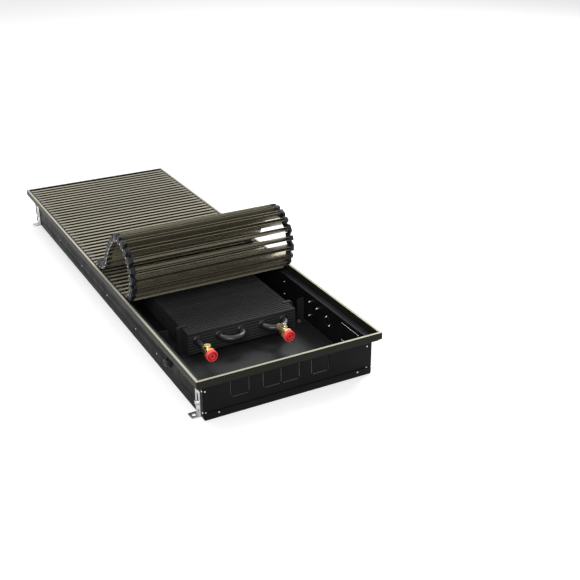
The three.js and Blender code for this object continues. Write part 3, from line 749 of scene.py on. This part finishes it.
def make_grille():
    for index, (body, matrix) in enumerate(folded_places()):
        outer = index % 2 == 0
        bm = bmesh.new()
        slat_into(bm, matrix)
        slat = piece_from(bm, body + "_bar", SLAT_SIDE, body, 45)
        up = (matrix.to_3x3() @ Vector((0, 0, 1))).normalized()
        foot = matrix @ Vector((0, 0, SLAT_HEIGHT / 2))
        # The slat's top faces get the lighter copy, as painted light.
        two_tone(slat, SLAT_TOP_PAINTED_LIGHT, lambda face, up=up, foot=foot: face_is_top(face, up, foot))
        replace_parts(slat, body)
        bm = bmesh.new()
        links_into(bm, matrix, outer)
        piece_from(bm, body + "_links", LINK_PLASTIC, body, 45)
        if outer:
            bm = bmesh.new()
            pins_into(bm, matrix)
            piece_from(bm, body + "_pins", ZINC, body, 45)
    bars, links = bmesh.new(), bmesh.new()
    for index, matrix in enumerate(lying_places()):
        slat_into(bars, matrix)
        links_into(links, matrix, index % 2 == 1)
    # The lying slats' sides are darkened, as painted shade.
    lying = piece_from(bars, "lying_slats", SLAT_SIDE_PAINTED_SHADE, "casing", 45)
    half_up = Vector((0, 0, GRILLE.low.z + SLAT_HEIGHT / 2))
    # Their top faces get the lighter copy, as painted light.
    two_tone(lying, SLAT_TOP_PAINTED_LIGHT, lambda face: face_is_top(face, Vector((0, 0, 1)), half_up))
    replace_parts(lying, "lying_grille")
    piece_from(links, "lying_links", LINK_PLASTIC, "casing", 45)


# ---- Fin pack and tubes ----

FIN_PITCH = 8.25 * MM
FIN = 0.45 * MM
FIN_FLANGE = 4.6 * MM
FIN_START = 2.4 * MM  # from the pack's front face to the first plain fin
RIDGES = 7
RIDGE_MARGIN = 1.2 * MM
RIDGE_FRONT = 1.3 * MM
RIDGE_DEPTH = 1.1 * MM
FRONT_FIN = (0.4 * MM, 1.9 * MM)  # front and rear face of the foremost fin's rim
TUBE = 7.5 * MM
TUBE_Z = COIL.middle.z
TUBE_PITCH = 53 * MM
TUBE_INSET = 21 * MM
TUBE_XS = [PACK.low.x + TUBE_INSET + i * TUBE_PITCH for i in range(5)]
BEND = TUBE_PITCH / 2
BEND_CLEAR = 4 * MM
FRONT_BEND_Y = PACK.low.y - BEND_CLEAR
REAR_BEND_Y = PACK.high.y + BEND_CLEAR
HEADER = TUBE - 1 * MM
STUB = 42 * MM
BARREL_LENGTH = 22 * MM
BARREL_REAR = PACK.low.y - STUB
BARREL_FRONT = BARREL_REAR - BARREL_LENGTH


def fin_outline():
    """Side of one fin: an upright sheet with a flange turned back at its top and foot."""
    low, high = PACK.low.z, PACK.high.z
    t = FIN
    return [
        (0, low), (FIN_FLANGE, low), (FIN_FLANGE, low + t), (t, low + t),
        (t, high - t), (FIN_FLANGE, high - t), (FIN_FLANGE, high), (0.25 * MM, high),
        (0, high - 0.25 * MM),
    ]


def ridged_front():
    """Side of the foremost fin, pressed with ridges across its face."""
    low, high = PACK.low.z + RIDGE_MARGIN, PACK.high.z - RIDGE_MARGIN
    step = (high - low) / RIDGES
    crest = RIDGE_FRONT - RIDGE_DEPTH
    rim, back = FRONT_FIN
    face = [(rim, PACK.low.z)]
    for i in range(RIDGES):
        foot = low + i * step
        face += [
            (RIDGE_FRONT, foot), (RIDGE_FRONT, foot + 0.28 * step),
            (crest, foot + 0.45 * step), (crest, foot + 0.83 * step),
        ]
    face += [(RIDGE_FRONT, high), (rim, PACK.high.z)]
    return face + [(back, PACK.high.z), (back, PACK.low.z)]


def make_fins():
    bm = bmesh.new()
    low, high = PACK.low.x, PACK.high.x
    count = int((PACK.size.y - 2 * MM) / FIN_PITCH)
    for i in range(count):
        start = PACK.low.y + FIN_START + i * FIN_PITCH
        outline = [(start + u, v) for u, v in fin_outline()]
        extruded(bm, outline, ACROSS_HEATER, low, high)
    front = [(PACK.low.y + u, v) for u, v in ridged_front()]
    extruded(bm, front, ACROSS_HEATER, low, high)
    pack = piece_from(bm, "fins", FIN_COAT, "casing", 35)
    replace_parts(pack, "fin_pack")


def bend_points(index, y, sign, steps=20):
    """Half a turn from one tube to the next; sign is 1 at the rear and -1 at the front."""
    middle = (TUBE_XS[index] + TUBE_XS[index + 1]) / 2
    points = []
    for step in range(steps + 1):
        angle = math.pi * (1 - step / steps)
        x, out = middle + BEND * math.cos(angle), BEND * math.sin(angle)
        points.append(Vector((x, y + sign * out, TUBE_Z)))
    return points


def pipe_into(bm, points, radius, sides=24):
    """A round pipe along a level route of points."""
    rings = []
    for i, point in enumerate(points):
        before = points[max(i - 1, 0)]
        after = points[min(i + 1, len(points) - 1)]
        ahead = (after - before).normalized()
        across = Vector((ahead.y, -ahead.x, 0))
        rings.append([point + across * u + Vector((0, 0, v)) for u, v in circle(radius, sides)])
    swept(bm, rings)


def make_coil():
    """The serpentine tube, its header at the rear and a collar where a tube leaves the pack."""
    bm = bmesh.new()
    run = [Vector((TUBE_XS[0], BARREL_REAR - 3 * MM, TUBE_Z))]
    for index in range(4):
        at_rear = index % 2 == 0
        run += bend_points(index, REAR_BEND_Y if at_rear else FRONT_BEND_Y, 1 if at_rear else -1)
    header_y = REAR_BEND_Y + BEND
    run.append(Vector((TUBE_XS[4], header_y, TUBE_Z)))
    pipe_into(bm, run, TUBE)
    header = [Vector((x, header_y, TUBE_Z)) for x in ((TUBE_XS[2] + TUBE_XS[3]) / 2, TUBE_XS[4])]
    pipe_into(bm, header, HEADER)
    for x in TUBE_XS:
        for y, sign in ((PACK.low.y, -1), (PACK.high.y, 1)):
            profile = [
                (TUBE + 0.1 * MM, y + sign * 3.2 * MM), (TUBE + 0.7 * MM, y + sign * 2.8 * MM),
                (TUBE + 1.0 * MM, y + sign * 1.0 * MM), (TUBE + 2.4 * MM, y),
            ]
            if sign < 0:
                profile.reverse()
            turned(bm, profile, along_y((x, TUBE_Z)), 24)
    coil = piece_from(bm, "coil", TUBE_COAT, "casing", 40)
    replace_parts(coil, "coil_tube")


# ---- Water fittings ----

FITTING_XS = {"left": TUBE_XS[0], "right": (TUBE_XS[3] + TUBE_XS[4]) / 2}
BOSS_Y = BARREL_FRONT + 8 * MM
BOSS_TOP = TUBE_Z + 12.5 * MM
BOSS = 6.5 * MM
SPIGOT = 8 * MM
SPIGOT_LENGTH = 13 * MM
NUT_REAR = BARREL_FRONT - GAP
NUT_LENGTH = 8.5 * MM
NUT_FLATS = 24 * MM
NUT_COLLAR = 10.6 * MM
CAP_REAR = NUT_REAR - NUT_LENGTH - GAP
CAP_LENGTH = 9 * MM
CAP_FRONT = CAP_REAR - CAP_LENGTH
CAP_RADIUS = 13 * MM
CAP_WAIST = CAP_RADIUS - 0.7 * MM
CAP_RECESS = CAP_FRONT + 1.9 * MM
CAP_RING = CAP_FRONT + 0.7 * MM
RIB_TURNS = (20, 110)  # degrees
RIB_HALF = (5.2 * MM, 0.8 * MM)
STEM_FOOT = BOSS_TOP + GAP  # foot of the plug and of the vent
PLUG = 7.5 * MM
VENT_LENGTH = 9 * MM
VENT_FLATS = 10.6 * MM
VENT = 5.6 * MM
VENT_NECK = 4.6 * MM
KEY_FLATS = 3.6 * MM


def hexagon_into(bm, across_flats, low, high, place, chamfer=0.9 * MM):
    """A six-sided nut with chamfered corners at both faces."""
    corner = across_flats / math.sqrt(3)
    sides = 48  # points round each ring, eight to a flat
    rings = []
    for t, inset in ((low, chamfer), (low + chamfer * 0.7, 0), (high - chamfer * 0.7, 0),
                     (high, chamfer)):
        ring = []
        for i in range(sides):
            angle = 2 * math.pi * i / sides
            within = (angle + math.pi / 6) % (math.pi / 3) - math.pi / 6
            flat = across_flats / 2 / math.cos(math.pi / 6 - abs(within))
            radius = min(flat, corner - inset)
            ring.append(place(radius * math.cos(angle), radius * math.sin(angle), t))
        rings.append(ring)
    swept(bm, rings)


def fitting_mesh(side, x):
    """A brass elbow's barrel, with the spigot for the nut and cap, and the boss on its top."""
    rear = BARREL_REAR if side == "left" else FRONT_BEND_Y - BEND + 3 * MM
    bm = bmesh.new()
    barrel = [
        (0, rear), (8.2 * MM, rear), (8.8 * MM, rear - 0.8 * MM), (8.8 * MM, rear - 3.6 * MM),
        (9.4 * MM, rear - 4.8 * MM), (9.4 * MM, BARREL_FRONT + 7 * MM),
        (10 * MM, BARREL_FRONT + 6 * MM), (10 * MM, BARREL_FRONT + 1.0 * MM),
        (9.2 * MM, BARREL_FRONT + 0.2 * MM), (SPIGOT, BARREL_FRONT),
        (SPIGOT, BARREL_FRONT - SPIGOT_LENGTH), (0, BARREL_FRONT - SPIGOT_LENGTH - 0.6 * MM),
    ]
    turned(bm, barrel, along_y((x, TUBE_Z)), 40)
    boss = [
        (0, TUBE_Z), (BOSS, TUBE_Z), (BOSS, BOSS_TOP - 2.0 * MM),
        (BOSS - 0.3 * MM, BOSS_TOP - 1.5 * MM), (BOSS, BOSS_TOP - 1.1 * MM),
        (BOSS, BOSS_TOP - 0.5 * MM), (BOSS - 0.4 * MM, BOSS_TOP), (0, BOSS_TOP),
    ]
    turned(bm, boss, along_z((x, BOSS_Y)), 40)
    return mesh_from(bm, side + "_fitting", 35)


def cap_mesh(x):
    """Cup with a groove round its skirt, and a ring and cross raised on its face."""
    place = along_y((x, TUBE_Z))
    bm = bmesh.new()
    profile = [
        (0, CAP_REAR), (CAP_RADIUS - 0.8 * MM, CAP_REAR), (CAP_RADIUS, CAP_REAR - 0.7 * MM),
        (CAP_RADIUS, CAP_REAR - 3.4 * MM), (CAP_WAIST, CAP_REAR - 4 * MM),
        (CAP_WAIST, CAP_FRONT + 3.6 * MM), (CAP_RADIUS - 0.1 * MM, CAP_FRONT + 2.6 * MM),
        (CAP_RADIUS - 0.2 * MM, CAP_FRONT + 1.3 * MM),
        (CAP_RADIUS - 1.5 * MM, CAP_FRONT + 0.1 * MM), (10.2 * MM, CAP_FRONT),
        (9.8 * MM, CAP_FRONT + 0.9 * MM), (9.3 * MM, CAP_RECESS), (7.4 * MM, CAP_RECESS),
        (7.0 * MM, CAP_RING), (5.9 * MM, CAP_RING), (5.5 * MM, CAP_RECESS), (0, CAP_RECESS),
    ]
    turned(bm, profile, place, 64)
    half, width = RIB_HALF
    for angle in RIB_TURNS:
        turn = Matrix.Rotation(math.radians(angle), 2)
        outline = [tuple(turn @ Vector(p)) for p in rectangle((-half, -width), (half, width))]
        low, high = CAP_FRONT + 0.5 * MM, CAP_FRONT + 2.2 * MM
        merged(softened(outline, place, low, high, 0.25 * MM, 1), bm)
    return mesh_from(bm, "pipe_cap", 32)


def face_is_recessed(face, x):
    """Whether a face of a cap is in the groove round its ring, or on its raised cross."""
    off_axis = math.hypot(face.center.x - x, face.center.z - TUBE_Z)
    in_groove = 7.2 * MM < off_axis < 9.9 * MM and face.center.y < CAP_FRONT + 2.5 * MM
    on_cross = off_axis < 5.4 * MM and face.center.y < CAP_FRONT + 1.8 * MM
    return in_groove or on_cross


def nut_mesh(x):
    bm = bmesh.new()
    place = along_y((x, TUBE_Z))
    hexagon_into(bm, NUT_FLATS, NUT_REAR - NUT_LENGTH, NUT_REAR - 1.2 * MM, place)
    collar = [
        (0, NUT_REAR - 1.4 * MM), (NUT_COLLAR, NUT_REAR - 1.4 * MM),
        (NUT_COLLAR, NUT_REAR - 0.6 * MM), (NUT_COLLAR - 0.8 * MM, NUT_REAR), (0, NUT_REAR),
    ]
    turned(bm, collar, place, 40)
    return mesh_from(bm, "union_nut", 32)


def make_fittings():
    for side, x in FITTING_XS.items():
        body = new_piece(side + "_fitting", fitting_mesh(side, x), BRASS, "casing")
        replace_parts(body, side + "_fitting_body")
        nut = new_piece(side + "_nut", nut_mesh(x), BRASS, side + "_union_nut")
        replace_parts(nut, side + "_union_nut")
        cap = new_piece(side + "_cap", cap_mesh(x), CAP_RED, side + "_pipe_cap")
        # The groove's faces get the darker red as painted shade; the raised cross gets the same
        # darker red.
        two_tone(cap, CAP_SHADE_AND_CROSS_RED, lambda face, x=x: face_is_recessed(face, x))
        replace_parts(cap, side + "_pipe_cap")
    make_plug(FITTING_XS["left"])
    make_vent(FITTING_XS["right"])


def make_plug(x):
    foot = STEM_FOOT
    bm = bmesh.new()
    place = along_z((x, BOSS_Y))
    profile = [
        (0, foot), (PLUG - 0.5 * MM, foot), (PLUG, foot + 0.5 * MM), (PLUG, foot + 2.2 * MM),
        (PLUG - 0.6 * MM, foot + 2.9 * MM), (5.7 * MM, foot + 3.0 * MM),
        (5.3 * MM, foot + 2.7 * MM), (0, foot + 2.6 * MM),
    ]
    turned(bm, profile, place, 40)
    plug = piece_from(bm, "plug", BRASS, "blanking_plug")
    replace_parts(plug, "blanking_plug")


def make_vent(x):
    """Manual air vent in the right boss, and the six-sided key screw in its top."""
    foot = STEM_FOOT
    top = foot + VENT_LENGTH
    place = along_z((x, BOSS_Y))
    bm = bmesh.new()
    hexagon_into(bm, VENT_FLATS, foot, foot + 3.6 * MM, place, 0.5 * MM)
    profile = [
        (0, foot + 3.5 * MM), (VENT_NECK, foot + 3.5 * MM), (VENT_NECK, foot + 4.4 * MM),
        (VENT, foot + 5.0 * MM), (VENT, top - 0.8 * MM), (VENT - 0.7 * MM, top),
        (2.8 * MM, top), (2.6 * MM, top - 0.6 * MM), (0, top - 0.6 * MM),
    ]
    turned(bm, profile, place, 32)
    vent = piece_from(bm, "air_vent", NICKEL, "air_vent_body")
    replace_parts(vent, "air_vent_body")
    bm = bmesh.new()
    head = Span("air_vent_screw").high.z
    hexagon_into(bm, KEY_FLATS, top - 0.5 * MM, head, place, 0.3 * MM)
    screw = piece_from(bm, "vent_screw", NICKEL, "air_vent_screw")
    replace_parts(screw, "air_vent_screw")


# ---- Levelling feet and their bolts ----

FOOT_FACE = WALL_X + GAP  # where a foot's leg starts
FOOT_SHEET = 2 * MM
FOOT_SLOT = 3.5 * MM
SLOT_LOW = 28 * MM
SLOT_HIGH = 46.5 * MM
LOWER_HOLE = 2.6 * MM
LOWER_HOLE_Z = 9.5 * MM
HOLE_STRETCH = 1.2
SOLE_HOLE = 4 * MM
SOLE_HOLE_OUT = 11.5 * MM
BOLT_SEAT = FOOT_FACE + FOOT_SHEET + GAP
WASHER = 6.2 * MM
WASHER_THICK = 0.9 * MM
BOLT_FLATS = 8.6 * MM
BOLT_HEAD = 4.5 * MM  # from the seat to the head's top
SHANK = 2.9 * MM
SHANK_LENGTH = 9 * MM


def foot_meshes(side_sign, end_sign, node):
    """The leg with its slot, and the sole that turns outward at its foot."""
    box = Span(node)
    middle = end_sign * FOOT_Y
    half = box.size.y / 2
    ring = circle(FOOT_SLOT, 20)
    slot = [(u, SLOT_LOW + v) for u, v in ring if v <= 1e-6]
    slot += [(u, SLOT_HIGH + v) for u, v in ring if v >= -1e-6]
    slot.sort(key=lambda p: math.atan2(p[1] - (SLOT_LOW + SLOT_HIGH) / 2, p[0]))
    lower_hole = [(u * HOLE_STRETCH, LOWER_HOLE_Z + v) for u, v in circle(LOWER_HOLE, 20)]
    outline = rounded(rectangle((-half, 0), (half, box.high.z)), [0, 0, 3 * MM, 3 * MM], 4)

    def place_leg(u, v, w):
        return (side_sign * (FOOT_FACE + w), middle + u, v)

    def place_sole(u, v, w):
        return (side_sign * (FOOT_FACE + v), middle + u, w)

    corners = rectangle((-half, 0), (half, box.size.x))
    sole = rounded(corners, [0, 0, 2.5 * MM, 2.5 * MM], 4)
    sole_hole = moved(circle(SOLE_HOLE, 24), 0, SOLE_HOLE_OUT)
    return [
        plate("foot_leg", outline, [slot, lower_hole], FOOT_SHEET, place_leg),
        plate("foot_sole", sole, [sole_hole], FOOT_SHEET, place_sole),
    ]


def make_feet():
    for end, end_sign in ENDS:
        for side, side_sign in SIDES:
            name = "levelling_foot_" + end + "_" + side
            mesh = joined(name, foot_meshes(side_sign, end_sign, name))
            foot = new_piece("foot_" + end + "_" + side, mesh, ZINC, name)
            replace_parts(foot, name)
            make_clamp_bolt(end, end_sign, side, side_sign)


def make_clamp_bolt(end, end_sign, side, side_sign):
    name = "clamp_bolt_" + end + "_" + side
    place = along_x((end_sign * FOOT_Y, BOLT_Z))
    bm = bmesh.new()
    washer = [(0, 0), (WASHER, 0), (WASHER, WASHER_THICK), (0, WASHER_THICK)]
    turned(bm, [(r, side_sign * (BOLT_SEAT + t)) for r, t in washer], place, 28)
    low, high = side_sign * (BOLT_SEAT + WASHER_THICK), side_sign * (BOLT_SEAT + BOLT_HEAD)
    hexagon_into(bm, BOLT_FLATS, min(low, high), max(low, high), place, 0.6 * MM)
    tip = BOLT_SEAT - SHANK_LENGTH
    shank = [(0, BOLT_SEAT), (SHANK, BOLT_SEAT), (SHANK, tip), (0, tip - 0.3 * MM)]
    turned(bm, [(r, side_sign * t) for r, t in shank], place, 20)
    bolt = piece_from(bm, "bolt_" + end + "_" + side, ZINC, name)
    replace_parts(bolt, name)


# ---- Cable gland ----

GLAND_FLATS = 20.6 * MM
GLAND_FLANGE = 4 * MM
THREAD_ROOT = 6.6 * MM
THREAD_CREST = 7.0 * MM
THREAD_TURNS = 9
DOME = 9.3 * MM
LOCK_NUT_FLATS = 19 * MM


def make_gland():
    outer = WALL_X + GAP
    place = along_x((GLAND_Y, GLAND_Z))
    bm = bmesh.new()
    hexagon_into(bm, GLAND_FLATS, -outer - GLAND_FLANGE, -outer, place, 0.8 * MM)
    inner = Span("cable_gland").high.x
    step = (outer + inner) / THREAD_TURNS
    thread = [(0, -outer)]
    for i in range(THREAD_TURNS):
        start = -outer + i * step
        thread += [(THREAD_ROOT, start), (THREAD_CREST, start + step / 2)]
    thread += [(THREAD_ROOT, inner), (4 * MM, inner), (3.5 * MM, -outer)]
    turned(bm, thread, place, 28)
    gland = piece_from(bm, "gland_body", GLAND_PLASTIC, "casing", 35)
    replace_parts(gland, "cable_gland")
    bm = bmesh.new()
    start = -outer - GLAND_FLANGE - GAP
    mouth = Span("gland_dome_nut").low.x
    dome = [
        (0, start), (DOME, start), (DOME, start - 2.4 * MM), (8.6 * MM, mouth + 1.5 * MM),
        (6.6 * MM, mouth), (3.8 * MM, mouth), (3.6 * MM, mouth + 1.2 * MM), (3.6 * MM, start),
    ]
    turned(bm, dome, place, 36)
    nut = piece_from(bm, "dome_nut", GLAND_PLASTIC, "gland_dome_nut")
    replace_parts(nut, "gland_dome_nut")
    bm = bmesh.new()
    box = Span("gland_lock_nut")
    hexagon_into(bm, LOCK_NUT_FLATS, box.low.x, box.high.x, place, 0.6 * MM)
    lock = piece_from(bm, "lock_nut", GLAND_PLASTIC, "gland_lock_nut")
    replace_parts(lock, "gland_lock_nut")


# ---- Screws, bolts and brackets ----

PLATE_SCREWS = ((-188.2, 65), (-188.2, 16.8), (181, 67), (181, 16.4))  # x and z, millimetres
SILL_SCREWS = (-161, 158)
SILL_SCREW_Z = 12
FLANGE_SCREWS_Z = (65, 16)
FLANGE_SCREW_Y = 608
WALL_STUDS = ((-360, 61.3), (-360, 26.5), (-395, 58.4))  # y and z, millimetres
WALL_SCREWS = ((-230, 59), (-230, 27), (-30, 59), (-30, 27), (170, 59), (170, 27),
               (370, 59), (370, 27))
SCREW = 1.9 * MM
SCREW_HEIGHT = 1.3 * MM
STUD_HEIGHT = 6.5 * MM
INNER_SCREW = 2 * MM
OUTER_SCREW = 1.7 * MM
OUTER_HEIGHT = 1.0 * MM
BRACKET_BOLT_IN = 20 * MM  # from the wall's outer face
BRACKET_BOLT_ON = 3 * MM  # from the bracket's middle, towards the heater's end


def screw_into(bm, at, normal, radius=SCREW, height=SCREW_HEIGHT):
    """A pan-head screw with a round dimple, its head standing on the surface."""
    axis = Vector(normal).normalized()
    side = axis.orthogonal().normalized()
    other = axis.cross(side)
    at = Vector(at)

    def place(u, v, t):
        return at + side * u + other * v + axis * t

    profile = [
        (0, 0), (radius, 0), (radius, height * 0.45), (radius * 0.85, height * 0.85),
        (radius * 0.5, height), (radius * 0.38, height * 0.55), (0, height * 0.5),
    ]
    turned(bm, profile, place, 16)


def make_screws():
    """The casing's screws, and the long studs beside the front brackets."""
    bm = bmesh.new()
    flange = Span("front_end_plate").high.x
    inner = WALL_X - SHEET
    for _, end_sign in ENDS:
        for x, z in PLATE_SCREWS:
            screw_into(bm, (x * MM, end_sign * PLATE_FACE, z * MM), (0, end_sign, 0))
        for x in SILL_SCREWS:
            screw_into(bm, (x * MM, end_sign * END_Y, SILL_SCREW_Z * MM), (0, end_sign, 0))
        for _, side_sign in SIDES:
            for z in FLANGE_SCREWS_Z:
                screw_into(bm, (side_sign * flange, end_sign * FLANGE_SCREW_Y * MM, z * MM),
                           (side_sign, 0, 0))
    for _, side_sign in SIDES:
        for y, z in WALL_STUDS + WALL_SCREWS:
            height = STUD_HEIGHT if (y, z) in WALL_STUDS else SCREW_HEIGHT
            screw_into(bm, (side_sign * inner, y * MM, z * MM), (-side_sign, 0, 0),
                       INNER_SCREW, height)
            screw_into(bm, (side_sign * WALL_X, y * MM, z * MM), (side_sign, 0, 0),
                       OUTER_SCREW, OUTER_HEIGHT)
    piece_from(bm, "casing_screws", ZINC, "casing")


def make_brackets():
    for end, _ in ENDS:
        for side, _ in SIDES:
            coats = NODES["pack_bracket_" + end + "_" + side].data.materials
            coats.clear()
            coats.append(BRACKET_COAT)


def make_bracket_bolts():
    bm = bmesh.new()
    for end, end_sign in ENDS:
        for side, side_sign in SIDES:
            box = Span("pack_bracket_" + end + "_" + side)
            y = box.middle.y + end_sign * BRACKET_BOLT_ON
            place = along_z((side_sign * (WALL_X - BRACKET_BOLT_IN), y))
            hexagon_into(bm, 8 * MM, 3.4 * MM, 7.4 * MM, place, 0.5 * MM)
            washer = [(0, 3.3 * MM), (5.2 * MM, 3.3 * MM), (5.2 * MM, 4.1 * MM), (0, 4.1 * MM)]
            turned(bm, washer, place, 24)
    piece_from(bm, "bracket_bolts", ZINC, "casing")


# ---- Floor, light and camera ----

FLOOR_HALF = 14.0
FLOOR_WHITE = (0.86, 0.86, 0.86)
FLOOR_GLOW = 0.34
WORLD_LIGHT = 0.45


def seen_directly(tree):
    """A socket that is 1 on camera, glossy and transmission rays, and 0 on the rest."""
    path = tree.nodes.new("ShaderNodeLightPath")
    seen = path.outputs["Is Camera Ray"]
    for kind in ("Is Glossy Ray", "Is Transmission Ray"):
        either = tree.nodes.new("ShaderNodeMath")
        either.operation = "MAXIMUM"
        tree.links.new(seen, either.inputs[0])
        tree.links.new(path.outputs[kind], either.inputs[1])
        seen = either.outputs[0]
    return seen


def floor_look():
    """A matte white that also glows to the camera, reflections and glass."""
    look = Look("studio_white", 0.9, 0.0, Specular_IOR_Level=0.0)
    look.colour_between(look.noise(3, 2), shade(FLOOR_WHITE, 0.995), FLOOR_WHITE)
    glow = look.add("ShaderNodeEmission", Strength=FLOOR_GLOW)
    nothing = look.add("ShaderNodeEmission", Strength=0.0)
    pick = look.add("ShaderNodeMixShader")
    total = look.add("ShaderNodeAddShader")
    look.link(seen_directly(look.tree), pick.inputs["Fac"])
    look.link(nothing.outputs[0], pick.inputs[1])
    look.link(glow.outputs[0], pick.inputs[2])
    look.link(look.shader.outputs[0], total.inputs[0])
    look.link(pick.outputs[0], total.inputs[1])
    look.link(total.outputs[0], look.tree.nodes["Material Output"].inputs["Surface"])
    return look.material


def make_floor():
    bm = bmesh.new()
    corners = rectangle((-FLOOR_HALF, -FLOOR_HALF), (FLOOR_HALF, FLOOR_HALF))
    bm.faces.new([bm.verts.new((x, y, -GAP)) for x, y in corners])
    mesh = bpy.data.meshes.new("studio_floor")
    bm.to_mesh(mesh)
    bm.free()
    floor = bpy.data.objects.new("studio_floor", mesh)
    bpy.context.scene.collection.objects.link(floor)
    floor.data.materials.append(floor_look())


def make_world():
    """Soft light all round, and plain white where the camera or a reflection sees past the set."""
    world = bpy.data.worlds.new("studio")
    bpy.context.scene.world = world
    world.use_nodes = True
    tree = world.node_tree
    lit = tree.nodes["Background"]
    shown = tree.nodes.new("ShaderNodeBackground")
    for background, strength in ((lit, WORLD_LIGHT), (shown, 1.0)):
        background.inputs["Color"].default_value = (1, 1, 1, 1)
        background.inputs["Strength"].default_value = strength
    pick = tree.nodes.new("ShaderNodeMixShader")
    tree.links.new(seen_directly(tree), pick.inputs["Fac"])
    tree.links.new(lit.outputs[0], pick.inputs[1])
    tree.links.new(shown.outputs[0], pick.inputs[2])
    tree.links.new(pick.outputs[0], tree.nodes["World Output"].inputs["Surface"])


def area_light(name, at, target, size, power):
    data = bpy.data.lights.new(name, "AREA")
    data.shape = "RECTANGLE"
    data.size, data.size_y = size
    data.energy = power
    lamp = bpy.data.objects.new(name, data)
    lamp.location = at
    aim = Vector(target) - Vector(at)
    lamp.rotation_euler = aim.to_track_quat("-Z", "Y").to_euler()
    bpy.context.scene.collection.objects.link(lamp)


def make_lights():
    area_light("key", (2.6, 1.2, 2.6), (0, 0, 0.05), (1.8, 1.8), 100)
    area_light("top", (-0.4, 1.8, 3.0), (0, 0, 0.1), (2.5, 1.6), 45)
    area_light("fill", (-1.6, -2.6, 1.8), (0, -0.2, 0.05), (2.0, 1.6), 66)


def make_camera():
    data = bpy.data.cameras.new("photo_camera")
    data.sensor_width = SENSOR_MM
    data.lens = FOCAL_LENGTH_PX / IMAGE_WIDTH_PX * SENSOR_MM
    camera = bpy.data.objects.new("photo_camera", data)
    bpy.context.scene.collection.objects.link(camera)
    turn, down = math.radians(CAMERA_AZIMUTH), math.radians(CAMERA_DOWN)
    level_ahead = Vector((math.sin(turn), math.cos(turn), 0))
    ahead = level_ahead * math.cos(down) - Vector((0, 0, math.sin(down)))
    level = Vector((math.cos(turn), -math.sin(turn), 0))
    up = level.cross(ahead)
    roll = math.radians(CAMERA_ROLL)
    right = level * math.cos(roll) + up * math.sin(roll)
    upright = up * math.cos(roll) - level * math.sin(roll)
    axes = Matrix((right, upright, -ahead)).transposed().to_4x4()
    camera.matrix_world = Matrix.Translation(CAMERA_AT) @ axes
    data.clip_end = CAMERA_REACH
    bpy.context.scene.camera = camera


# ---- Everything ----

make_casing()
make_frame()
make_seat()
make_grille()
make_fins()
make_coil()
make_fittings()
make_feet()
make_gland()
make_screws()
make_bracket_bolts()
make_brackets()
make_floor()
make_world()
make_lights()
make_camera()
bpy.context.scene.view_settings.view_transform = "Standard"
